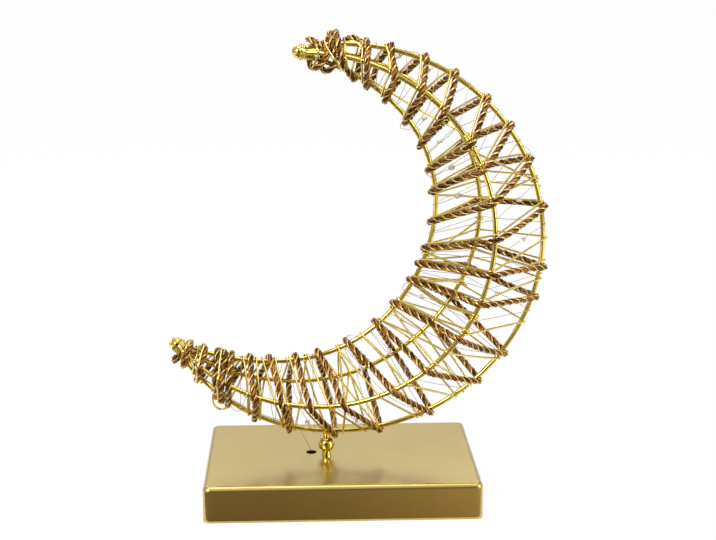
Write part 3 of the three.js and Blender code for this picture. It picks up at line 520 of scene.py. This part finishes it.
# one of four crossings to a turn: its place on the rail and the rail's direction there
def crossing(number, turns):
    quarter = number % 4
    entry = number // 4 + 1
    here, ahead = turns["outer"][entry], turns["inner"][entry]
    if quarter == 1:
        share = (here + ahead) / 2 + turns.get("frontShift", noShift)[entry]
    elif quarter == 3:
        share = (ahead + turns["outer"][entry + 1]) / 2 + turns.get("backShift", noShift)[entry]
    else:
        share = ahead if quarter else here
    placeAt = railAt[quarter]
    return placeAt(share), unit(placeAt(min(1, share + 0.002)) - placeAt(share - 0.002))


# bends round the outer side of each rail that a winding meets, from one crossing number to another;
# the radius is one for all rails, or one each for the outer, front, inner and back rail
def windingBends(turns, first, last, radius, arcPoints=7):
    bends = []
    radii = np.broadcast_to(radius, 4)
    for number in range(first, last + 1):
        place, along = crossing(number, turns)
        arriving = unit(place - crossing(number - 1, turns)[0])
        leaving = unit(crossing(number + 1, turns)[0] - place)
        flatIn = arriving - along * arriving.dot(along)
        flatOut = leaving - along * leaving.dot(along)
        bend = math.acos(max(-1, min(1, unit(flatIn).dot(unit(flatOut)))))
        out = unit(unit(flatIn) - unit(flatOut))
        aside = flatIn + flatOut
        aside = unit(aside - out * aside.dot(out))
        slope = (arriving.dot(along) / np.linalg.norm(flatIn) + leaving.dot(along) / np.linalg.norm(flatOut)) / 2
        reach = crescent["railRadius"] + radii[number % 4]
        angles = bend * (np.linspace(0, 1, arcPoints) - 0.5)
        bends.append([place + out * reach * math.cos(a) + aside * reach * math.sin(a) + along * reach * slope * a
                      for a in angles])
    return bends


# the line through the bends, with a slight hand-made bow in each straight stretch
def windingLine(bends, step, bow, seed):
    chance = np.random.RandomState(seed)
    line = []
    for bend, after in zip(bends, bends[1:] + [None]):
        line += list(bend)
        if after is None:
            continue
        start, end = np.array(bend[-1]), np.array(after[0])
        count = max(3, int(np.linalg.norm(end - start) / step))
        sway = chance.uniform(-1, 1, 3) * bow
        for share in np.linspace(0, 1, count)[1:-1]:
            line.append(start + (end - start) * share + sway * math.sin(math.pi * share))
    return line


# two directions square to the line at each point, carried along without twist
def carried(points):
    headings = np.gradient(points, axis=0)
    headings /= np.linalg.norm(headings, axis=1)[:, None]
    across = unit(np.cross(headings[0], (0.3, 0.2, 1)))
    sides = []
    for heading in headings:
        across = unit(across - heading * across.dot(heading))
        sides.append((across, np.cross(heading, across)))
    return np.array(sides)


# a smooth line through given points
def smoothThrough(points, step):
    points = np.array(points, float)
    padded = np.vstack([2 * points[0] - points[1], points, 2 * points[-1] - points[-2]])
    line = []
    for a, b, c, d in zip(padded, padded[1:], padded[2:], padded[3:]):
        count = max(2, int(np.linalg.norm(c - b) / step))
        for t in np.linspace(0, 1, count, endpoint=False):
            line.append(0.5 * (2 * b + (c - a) * t + (2 * a - 5 * b + 4 * c - d) * t ** 2
                               + (3 * b - a - 3 * c + d) * t ** 3))
    return line + [points[-1]]


# listed points, whose x counts from the middle of the tray
def fromTray(points):
    return [np.array([x + trayX, y, z]) for x, y, z in points]


# twisted cord: two brown plies of five yarns, in each ply one lighter yarn as painted highlight and one darker yarn
# as painted shade, and two pairs of gold yarn laid round a dark core that is painted shade in the gaps between the
# plies
cord = {"radius": 1.75, "lay": 13.4, "step": 0.95, "bow": 0.8, "coreRadius": 0.9, "plyReach": 0.91,
        "plyRadius": 0.54, "plyLay": -55, "yarnRadius": 0.36, "goldReach": 1.48, "goldSpread": 10, "goldRadius": 0.27}
# the loose end over the upper tip: two loops under the rails and an arch on top
looseStart = [
    (-17.2, -4, 251.8), (-12.5, -8, 250.3), (-7.9, -10.5, 247.7), (-6.1, -12.5, 244.2), (-9.5, -11.5, 240.0),
    (-13.1, -6.5, 236.4), (-15.9, -1, 238.3), (-14.8, 3, 243.2), (-11.3, 3.5, 247.3), (-6.6, 1, 249.6),
    (-2.0, -5, 249.0), (0.7, -11, 245.9), (-2.2, -12.5, 240.3), (-6.8, -7, 234.9), (-9.6, -0.5, 237.1),
    (-8.7, 4.5, 242.5), (-6.6, 5.2, 247.5), (-5.6, 1.5, 252.0), (-5.0, -3.5, 254.8), (-4.6, -9.0, 252.8),
    (-4.2, -12.5, 248.0), (-3.2, -12, 243.0), (-1.6, -5, 240.0), (-0.2, 3, 242.5), (0.2, 5.5, 247.5),
    (-1.4, 2.5, 252.2), (-2.0, -3, 255.4), (-2.0, -9, 253.4), (-0.9, -13.5, 249.0), (0.4, -15.5, 244.0),
    (1.1, -15, 239.5),
]
# a stray end of cord behind the upper tip
strayEnd = [(1.0, 6, 246.0), (2.6, 4, 250.0), (5.6, 1, 251.9), (8.9, -1.5, 251.7), (11.2, -4, 250.1)]
# the loose end at the lower tip, and the shares of a second run of cord beside the last turns
looseEnd = [(-84.5, 1.5, 84.5), (-88.6, 0.5, 79.5), (-90.5, -3.5, 76.5), (-91.5, -7.5, 77.5), (-90.0, -10.0, 81.0)]
doubledTurns = {"outer": [0.9, 0.9105, 0.928, 0.94], "inner": [0.91, 0.918, 0.9425, 0.95]}


# a strand laid round a line of points
def spun(points, sides, reach, lay, angle):
    run = np.concatenate([[0], np.cumsum(np.linalg.norm(np.diff(points, axis=0), axis=1))])
    turn = 2 * math.pi * run / lay + math.radians(angle)
    return points + sides[:, 0] * (reach * np.cos(turn))[:, None] + sides[:, 1] * (reach * np.sin(turn))[:, None]


wound = windingLine(windingBends(cordTurns, 2, 82, cord["radius"]), 1.0, cord["bow"], 4)
mainLine = smoothThrough(fromTray(looseStart), 1.0) + wound + smoothThrough(fromTray(looseEnd), 1.0)
doubled = windingLine(windingBends(doubledTurns, -1, 7, cord["radius"] * 1.05), 1.0, cord["bow"], 7)
stray = smoothThrough(fromTray(strayEnd), 1.0)
cordLines = [softened(evenly(line, cord["step"]), 7) for line in (mainLine, doubled, stray)]

plyOne, plyTwo, paintedSheenYarn, paintedShadeYarn, goldYarn, coreYarn = [], [], [], [], [], []
for points in cordLines:
    sides = carried(points)
    coreYarn.append(points[::2])
    for brownYarn, plyAngle in ((plyOne, 0), (plyTwo, 180)):
        ply = spun(points, sides, cord["plyReach"], cord["lay"], plyAngle)
        # in each ply the copper yarn is a painted highlight streak and the dark yarn a painted shade streak
        for number, home in enumerate((brownYarn, paintedSheenYarn, brownYarn, paintedShadeYarn, brownYarn)):
            home.append(spun(ply, sides, cord["plyRadius"], cord["plyLay"], number * 72))
        for spread in (-cord["goldSpread"], cord["goldSpread"]):
            goldYarn.append(spun(points, sides, cord["goldReach"], cord["lay"], plyAngle + 90 + spread))
# the core takes the dark yarn copy: painted shade in the gaps between the plies
core = wires("cord_core", coreYarn, cord["coreRadius"], 8, cordPaintedShade)
wires("cord_ply_one", plyOne, cord["yarnRadius"], 6, cordBrown)
wires("cord_ply_two", plyTwo, cord["yarnRadius"], 6, cordBrown)
wires("cord_painted_sheen_yarn", paintedSheenYarn, cord["yarnRadius"], 6, cordPaintedSheen)
wires("cord_painted_shade_yarn", paintedShadeYarn, cord["yarnRadius"], 6, cordPaintedShade)
wires("cord_gold_yarn", goldYarn, cord["goldRadius"], 6, strandGold)
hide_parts("wrap_cord")
print("cord made")


# binding wire, with a second run beside the cord near the lower tip
binding = {"radius": 0.58, "sides": 10, "step": 0.6, "bow": 0.5, "secondOffset": 0.0085,
           "overCord": (3.1, 3.75, 3.1, 3.75), "overTrim": 13}
bends = windingBends(bindingTurns, 0, 76, binding["radius"], 9)
bindingLines = [softened(evenly(windingLine(bends, 1.2, binding["bow"], 9), binding["step"]), 1)]
secondTurns = {"frontShift": cordTurns["frontShift"], "backShift": cordTurns["backShift"]}
for rail, offset in (("outer", binding["secondOffset"]), ("inner", binding["secondOffset"] * 1.4)):
    secondTurns[rail] = [share + offset for share in cordTurns[rail][:22]]
bends = windingBends(secondTurns, 60, 79, binding["radius"], 9)
bindingLines.append(softened(evenly(windingLine(bends, 1.2, binding["bow"], 12), binding["step"]), 1))


# one plain turn round all four rails at a share of the outer rail and one of the inner rail
def loneTurn(outerShare, innerShare, first, last, reach, seed):
    turns = {"outer": [outerShare - 0.02, outerShare, outerShare + 0.012, outerShare + 0.03],
             "inner": [innerShare - 0.02, innerShare, innerShare + 0.015, innerShare + 0.03]}
    return windingLine(windingBends(turns, first, last, reach, 9), 1.2, binding["bow"], seed)


# four bare turns, then two that pass over the cord near the lower tip and end behind it
for seed, (outerShare, innerShare) in enumerate(((0.33, 0.353), (0.427, 0.4665), (0.766, 0.727), (0.6, 0.598))):
    line = loneTurn(outerShare, innerShare, -1, 4, binding["radius"], seed)
    bindingLines.append(softened(evenly(line, binding["step"]), 1))
for seed, (outerShare, innerShare) in enumerate(((0.922, 0.937), (0.956, 0.967))):
    line = loneTurn(outerShare, innerShare, -1, 3, binding["overCord"], seed)
    bindingLines.append(evenly(line[binding["overTrim"]:-binding["overTrim"]], binding["step"]))

# crossed wires over the loose cord at the upper tip, then one beside the last cord at the lower tip and one
# that hangs in a loop below the doubled cord
tipWires = [
    [(-8.5, -8, 252.0), (-7.0, -12.0, 248.0), (-4.0, -17.2, 243.5), (-0.5, -17.4, 239.5), (0.8, -12, 235.8),
     (0.5, -5, 234.6)],
    [(2.2, -3, 252.6), (2.6, -10, 248.9), (2.4, -14.6, 244.5), (3.0, -16, 241.0), (3.8, -12.5, 236.0),
     (3.6, -5, 233.6)],
    [(-13.5, -6, 250.9), (-12.0, -10.6, 248.0), (-11.5, -11.6, 243.5), (-13.6, -9.2, 238.8), (-14.8, -4, 235.9)],
    [(3.5, -5, 248.5), (5.5, -4, 250.4), (9.5, -6, 249.4), (12.0, -8, 246.5)],
    [(-81.4, -8.6, 88.8), (-82.4, -12.4, 89.3), (-83.9, -14.2, 87.3), (-85.4, -14.8, 84.1), (-86.9, -14.2, 80.3),
     (-87.5, -11.6, 76.7), (-86.9, -8.2, 74.7)],
    [(-70.1, -9.6, 60.0), (-70.7, -9.2, 56.1), (-70.3, -7.8, 52.4), (-68.4, -6.2, 49.5), (-66.1, -5.6, 48.7),
     (-63.3, -6.8, 50.0), (-61.4, -9.2, 54.0), (-61.1, -10.4, 58.4)],
]
for points in tipWires:
    bindingLines.append(evenly(smoothThrough(fromTray(points), 0.8), binding["step"]))

# wires drawn from one rail to another, given as rail number and share; each ends in tight turns round the
# rail, and those with a knot also in a twisted stub
tieShape = {"knotCurls": 2.5, "plainCurls": 1.25, "curlPitch": 1.25, "apart": 1.2, "stubLength": 4.2,
            "stubLean": 1.5, "stubTwists": 3, "stubRadius": 0.42}
ties = [
    {"from": (2, 0.534), "to": (1, 0.512), "wires": 2, "knot": True, "side": 1, "sag": 2.2},
    {"from": (2, 0.528), "to": (3, 0.5075), "wires": 2, "knot": True, "side": -1, "sag": -1.2},
    {"from": (2, 0.108), "to": (1, 0.2545), "wires": 1, "knot": True, "side": 1, "sag": 0},
    {"from": (1, 0.272), "to": (0, 0.334), "wires": 1, "knot": False, "side": 1, "sag": 0},
    {"from": (2, 0.712), "to": (0, 0.669), "wires": 1, "knot": False, "side": 1, "sag": 0},
    {"from": (2, 0.765), "to": (0, 0.7265), "wires": 1, "knot": False, "side": 1, "sag": 0},
    {"from": (2, 0.7325), "to": (0, 0.7235), "wires": 1, "knot": False, "side": 1, "sag": 0},
    {"from": (2, 0.797), "to": (0, 0.787), "wires": 1, "knot": False, "side": -1, "sag": 0},
    {"from": (2, 0.4715), "to": (3, 0.404), "wires": 1, "knot": False, "side": -1, "sag": 0},
    {"from": (2, 0.5765), "to": (1, 0.535), "wires": 1, "knot": False, "side": 1, "sag": 0.8},
]
for tie in ties:
    (startRail, startShare), (endRail, endShare) = tie["from"], tie["to"]
    start, end = railAt[startRail](startShare), railAt[endRail](endShare)
    axis = unit(railAt[endRail](endShare + 0.002) - end)
    startAxis = unit(railAt[startRail](startShare + 0.002) - start)
    heading = unit(end - start)
    outside = unit(np.cross(heading, axis)) * tie["side"]
    startOutside = unit(np.cross(heading, startAxis)) * tie["side"]
    hugReach = crescent["railRadius"] + binding["radius"]
    squareOn = np.cross(axis, outside)
    curls = tieShape["knotCurls"] if tie["knot"] else tieShape["plainCurls"]
    turns = []
    for part in np.linspace(0, 1, 60):
        angle = part * curls * 2 * math.pi
        around = outside * math.cos(angle) + squareOn * math.sin(angle)
        turns.append(end + axis * (part - 0.5) * curls * tieShape["curlPitch"] + around * hugReach)
    for number in range(tie["wires"]):
        shift = (number - (tie["wires"] - 1) / 2) * tieShape["apart"]
        startTurn = []
        for angle in np.linspace(-1.5 * math.pi, 0, 20):
            around = startOutside * math.cos(angle) + np.cross(startAxis, startOutside) * math.sin(angle)
            startTurn.append(start + around * hugReach + startAxis * (shift + angle * 0.15))
        sag = np.array([0, 0, tie["sag"]])
        middle = start + (end - start) * 0.5 + outside * hugReach * 0.9 + axis * shift - sag
        line = startTurn + smoothThrough([startTurn[-1], middle, turns[0] + axis * shift * 0.6], 0.8)
        bindingLines.append(evenly(line, binding["step"]))
    bindingLines.append(turns)
    if tie["knot"]:
        stub = []
        for part in np.linspace(0, 1, 40):
            angle = part * tieShape["stubTwists"] * 2 * math.pi
            middle = end + outside * (hugReach + tieShape["stubLength"] * part)
            middle = middle - heading * tieShape["stubLean"] * part
            stub.append(middle + (axis * math.cos(angle) + heading * math.sin(angle)) * tieShape["stubRadius"])
        bindingLines.append(stub)
bindingPiece = wires("binding_wire_wound", bindingLines, binding["radius"], binding["sides"], wireGold)
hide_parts("binding_wire")
print("binding wire made")


# thin light wire: out of the case, up through the tray, along the outer rail, then back up in its lane
light = {"radius": 0.16, "laneRadius": 0.25, "rise": 0.822, "step": 0.02, "sway": 0.5, "firstCrossing": 4,
         "lastCrossing": 76, "turnInShare": 0.009, "turnInSweep": 1.6, "belowCaseTop": 1.7}
hug = crescent["railRadius"] + crescent["gap"] + light["laneRadius"]
caseLow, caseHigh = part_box("battery_case")
caseLeft = caseLow.x / mm
boardLow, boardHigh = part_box("controller_board")
wireZ = caseHigh.z / mm - light["belowCaseTop"] - light["laneRadius"]


def insideRail(share, reach):
    place = railAt[0](share)
    return place + unit(railAt[2](share) - place) * reach


rise = insideRail(light["rise"], 2 * hug)
lightLine = [
    np.array([boardLow.x / mm - 1, wireHole[1], wireZ]),
    np.array([caseLeft, wireHole[1], wireZ]),
    np.array([wireHole[0] + 3, wireHole[1], wireZ]),
    np.array([wireHole[0] + 1, wireHole[1], wireZ + 0.5]),
    np.array([wireHole[0], wireHole[1], 18.8]),
    np.array([wireHole[0], wireHole[1] - 0.4, 20.6]),
    np.array([rise[0], crescent["planeY"] + 2 * hug, rise[2] - hug]),
    rise,
]
lightBends = windingBends(lightTurns, light["firstCrossing"], light["lastCrossing"], 2 * light["laneRadius"])
lastShare = lightTurns["outer"][20] - light["turnInShare"]
share = light["rise"] + light["step"]
while share < lastShare:
    lightLine.append(insideRail(share, hug))
    share += light["step"]
lightLine.append(insideRail(lastShare, hug) - np.array([0, hug * light["turnInSweep"], 0]))
chance = np.random.RandomState(21)
backwards = [list(reversed(bend)) for bend in reversed(lightBends)]
for bend, after in zip(backwards, backwards[1:] + [None]):
    lightLine += list(bend)
    if after is not None:
        start, end = np.array(bend[-1]), np.array(after[0])
        sway = chance.uniform(-1, 1, 3) * light["sway"]
        for part in np.linspace(0, 1, 16)[1:-1]:
            lightLine.append(start + (end - start) * part + sway * math.sin(2 * math.pi * part))
lightLines = [softened(evenly(lightLine, 0.8), 1)]
# slack that stands off the outer or the inner rail in small loops: share of the rail, how far, how wide
slack = [
    ("outer", 0.126, 0.6, 4), ("inner", 0.214, 1.2, 5), ("inner", 0.31, 0.9, 4), ("outer", 0.3, 0.7, 5),
    ("inner", 0.545, 0.8, 4), ("inner", 0.7, 0.8, 5), ("outer", 0.905, 0.9, 4),
]
for rail, share, far, size in slack:
    here, opposite = (railAt[0], railAt[2]) if rail == "outer" else (railAt[2], railAt[0])
    place = here(share)
    outwards = unit(place - opposite(share))
    along = unit(here(share + 0.01) - place)
    loop = [place - along * size - outwards * 3, place - along * size * 0.8 + outwards * 1.5 + np.array([0, -2, 0]),
            place + outwards * size * far, place + along * size * 0.7 + outwards * 1.8 + np.array([0, 2, 0]),
            place + along * size * 1.1 - outwards * 3]
    lightLines.append(evenly(smoothThrough(loop, 0.7), 0.7))
lightPiece = wires("light_wire", lightLines, light["radius"], 6, copper)
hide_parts("led_wire")
print("light wire made")


# light drops: resin beads cast round the wire over a small chip
drop = {"count": 20, "radius": 1.4, "half": 2.2, "chip": 0.5, "firstSpan": 3, "spansApart": 3.5}
dropShape, chipShape = bmesh.new(), bmesh.new()
dropNodes = ["light_drop_%02d" % number for number in range(1, drop["count"] + 1)]
for i, nodeName in enumerate(dropNodes):
    low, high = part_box(nodeName)
    middle = (low + high) / 2
    span = int(drop["firstSpan"] + i * drop["spansApart"] + 0.5)
    direction = Vector(unit(np.array(lightBends[span + 1][0]) - np.array(lightBends[span][-1])))
    place = Matrix.Translation(middle) @ direction.to_track_quat("Z", "Y").to_matrix().to_4x4()
    bead = bmesh.ops.create_uvsphere(dropShape, u_segments=16, v_segments=10, radius=1)["verts"]
    bmesh.ops.transform(dropShape, verts=bead, matrix=place @ Matrix.Diagonal(
        (drop["radius"] * mm, drop["radius"] * mm, drop["half"] * mm, 1)))
    chip = bmesh.ops.create_cube(chipShape, size=drop["chip"] * mm)["verts"]
    bmesh.ops.transform(chipShape, verts=chip, matrix=place)
drops = pieceFrom(dropShape, "light_drops_resin", dropResin)
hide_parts(*dropNodes)
bmesh.ops.bevel(chipShape, geom=chipShape.edges[:], offset=0.1 * mm, segments=2, profile=0.5, affect="EDGES",
                material=-1)
pieceFrom(chipShape, "light_drops_chips", caseWhite)
print("light drops made")


# contact springs: coils that narrow towards the cell, the middle one turned round
spring = {"wire": 0.3, "wide": 3.4, "narrow": 2.2, "length": 6, "curls": 3}
for number in (1, 2, 3):
    low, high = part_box("contact_spring_%d" % number)
    direction = -1 if number == 2 else 1
    wideEnd = high.x / mm if number == 2 else low.x / mm
    cellLow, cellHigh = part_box("battery_cell_%d" % number)
    axisY, axisZ = (cellLow.y + cellHigh.y) / 2 / mm, (cellLow.z + cellHigh.z) / 2 / mm
    coil = []
    for part in np.linspace(0, 1, 90):
        angle = part * spring["curls"] * 2 * math.pi
        radius = spring["wide"] + (spring["narrow"] - spring["wide"]) * part
        run = spring["wire"] + (spring["length"] - 2 * spring["wire"]) * part
        coil.append([wideEnd + direction * run, axisY + direction * radius * math.cos(angle),
                     axisZ + radius * math.sin(angle)])
    coilPiece = wires("contact_coil_%d" % number, [coil], spring["wire"], 8, steelPlate)
    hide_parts("contact_spring_%d" % number)
print("springs made")


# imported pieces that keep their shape
kept = {
    "stem_washer": steelPlate, "stem_nut": steelPlate, "battery_case": caseWhite, "battery_cover": caseWhite,
    "battery_cell_1": cellGreen, "battery_cell_2": cellGreen, "battery_cell_3": cellGreen,
    "contact_plate_left_pair": steelPlate, "contact_plate_left_single": steelPlate,
    "contact_plate_right_single": steelPlate, "contact_plate_right_pair": steelPlate,
    "switch_housing": steelPlate, "switch_knob": knobBlack, "controller_board": boardGreen,
    "foam_tape_front": tapeGrey, "foam_tape_back": tapeGrey,
}
for nodeName, material in kept.items():
    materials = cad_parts[nodeName].data.materials
    materials.clear()
    materials.append(material)
print("kept pieces finished")


# floor, lamps and surroundings
studio = {"floorShade": 0.86, "seenWhite": 0.975, "floorSize": 12, "high": 0.8, "low": 0.5,
          "key": 11, "fill": 5, "top": 4, "back": 3.2, "lampsAim": (0, 0, 0.11)}


# a share of plain white for what the camera sees itself, and the real surface for everything else
def whiteToCamera(nodes, links, surface, white, share, output):
    path = nodes.new("ShaderNodeLightPath")
    mix = nodes.new("ShaderNodeMixShader")
    scaled = nodes.new("ShaderNodeMath")
    scaled.operation = "MULTIPLY"
    scaled.inputs[1].default_value = share
    links.new(path.outputs["Is Camera Ray"], scaled.inputs[0])
    links.new(scaled.outputs["Value"], mix.inputs["Fac"])
    links.new(surface, mix.inputs[1])
    links.new(white, mix.inputs[2])
    links.new(mix.outputs["Shader"], output)


floorMesh = bmesh.new()
bmesh.ops.create_grid(floorMesh, x_segments=1, y_segments=1, size=studio["floorSize"])
mesh = bpy.data.meshes.new("floor")
floorMesh.to_mesh(mesh)
floorMesh.free()
floor = bpy.data.objects.new("floor", mesh)
bpy.context.scene.collection.objects.link(floor)
floorMaterial, nodes, links, shader = newMaterial("floorPaper")
shader.inputs["Base Color"].default_value = (studio["floorShade"],) * 3 + (1,)
shader.inputs["Roughness"].default_value = 0.8
shader.inputs["Specular IOR Level"].default_value = 0.2
emission = nodes.new("ShaderNodeEmission")
whiteToCamera(nodes, links, shader.outputs["BSDF"], emission.outputs["Emission"], studio["seenWhite"],
              nodes["Material Output"].inputs["Surface"])
mesh.materials.append(floorMaterial)


def lamp(name, place, size, power):
    data = bpy.data.lights.new(name, "AREA")
    data.shape = "RECTANGLE"
    data.size, data.size_y = size
    data.energy = power
    lampObject = bpy.data.objects.new(name, data)
    lampObject.location = place
    towards = Vector(studio["lampsAim"]) - Vector(place)
    lampObject.rotation_euler = towards.to_track_quat("-Z", "Y").to_euler()
    bpy.context.scene.collection.objects.link(lampObject)


lamp("keyLamp", (-0.75, -0.85, 0.85), (0.5, 0.5), studio["key"])
lamp("fillLamp", (0.95, -0.45, 0.5), (0.35, 0.8), studio["fill"])
lamp("topLamp", (0.0, 0.0, 1.3), (0.7, 0.5), studio["top"])
lamp("backLamp", (-0.05, 1.1, 0.9), (1.3, 0.5), studio["back"])


# cards that only reflections meet, whose colours are painted reflections: one on the floor in front, for the tray's
# front face, one behind the camera, for a dark room
def card(name, middle, size, tilt, material):
    shape = bmesh.new()
    bmesh.ops.create_grid(shape, x_segments=1, y_segments=1, size=0.5)
    bmesh.ops.scale(shape, vec=(size[0], size[1], 1), verts=shape.verts)
    bmesh.ops.rotate(shape, matrix=Matrix.Rotation(math.radians(tilt), 3, "X"), verts=shape.verts)
    bmesh.ops.translate(shape, vec=middle, verts=shape.verts)
    mesh = bpy.data.meshes.new(name)
    shape.to_mesh(mesh)
    shape.free()
    mesh.materials.append(material)
    piece = bpy.data.objects.new(name, mesh)
    bpy.context.scene.collection.objects.link(piece)
    piece.visible_camera = False
    piece.visible_diffuse = False
    piece.visible_shadow = False


# the floor card's colour is a painted reflection: dark brown, lighter towards +x, so the tray's front face reflects
# darker on the left and lighter on the right
paintedFrontReflection, nodes, links, shader = newMaterial("paintedFrontReflection")
place = nodes.new("ShaderNodeTexCoord")
axes = nodes.new("ShaderNodeSeparateXYZ")
links.new(place.outputs["Object"], axes.inputs["Vector"])
across = addRange(nodes, links, axes.outputs["X"], 0, 1)
across.inputs["From Min"].default_value = -0.08
across.inputs["From Max"].default_value = 0.08
shade = addRamp(nodes, links, across.outputs["Result"],
                [(0.2, (0.148, 0.104, 0.070)), (0.62, (0.225, 0.168, 0.112)), (0.95, (0.34, 0.26, 0.18))])
links.new(shade.outputs["Color"], shader.inputs["Base Color"])
shader.inputs["Roughness"].default_value = 0.9
# the card behind the camera is near black, a painted dark reflection
paintedDarkReflection = moulded("paintedDarkReflection", (0.022, 0.020, 0.017), (0.018, 0.016, 0.014), 0.9, 300, 0.1)
card("floorCard", (-0.07, -0.475, 0.001), (0.72, 0.85), 0, paintedFrontReflection)
card("cameraCard", (-0.075, -1.1, 0.375), (0.95, 0.75), 90, paintedDarkReflection)

world = bpy.data.worlds.new("surroundings")
bpy.context.scene.world = world
world.use_nodes = True
nodes, links = world.node_tree.nodes, world.node_tree.links
background = nodes["Background"]
direction = nodes.new("ShaderNodeTexCoord")
parts = nodes.new("ShaderNodeSeparateXYZ")
links.new(direction.outputs["Generated"], parts.inputs["Vector"])
glow = addRange(nodes, links, parts.outputs["Z"], studio["low"], studio["high"])
links.new(glow.outputs["Result"], background.inputs["Strength"])
background.inputs["Color"].default_value = (1, 0.99, 0.97, 1)
seen = nodes.new("ShaderNodeBackground")
whiteToCamera(nodes, links, background.outputs["Background"], seen.outputs["Background"], 1.0,
              nodes["World Output"].inputs["Surface"])
seen.inputs["Color"].default_value = (1, 1, 1, 1)

bpy.context.scene.view_settings.view_transform = "Standard"
print("studio set")
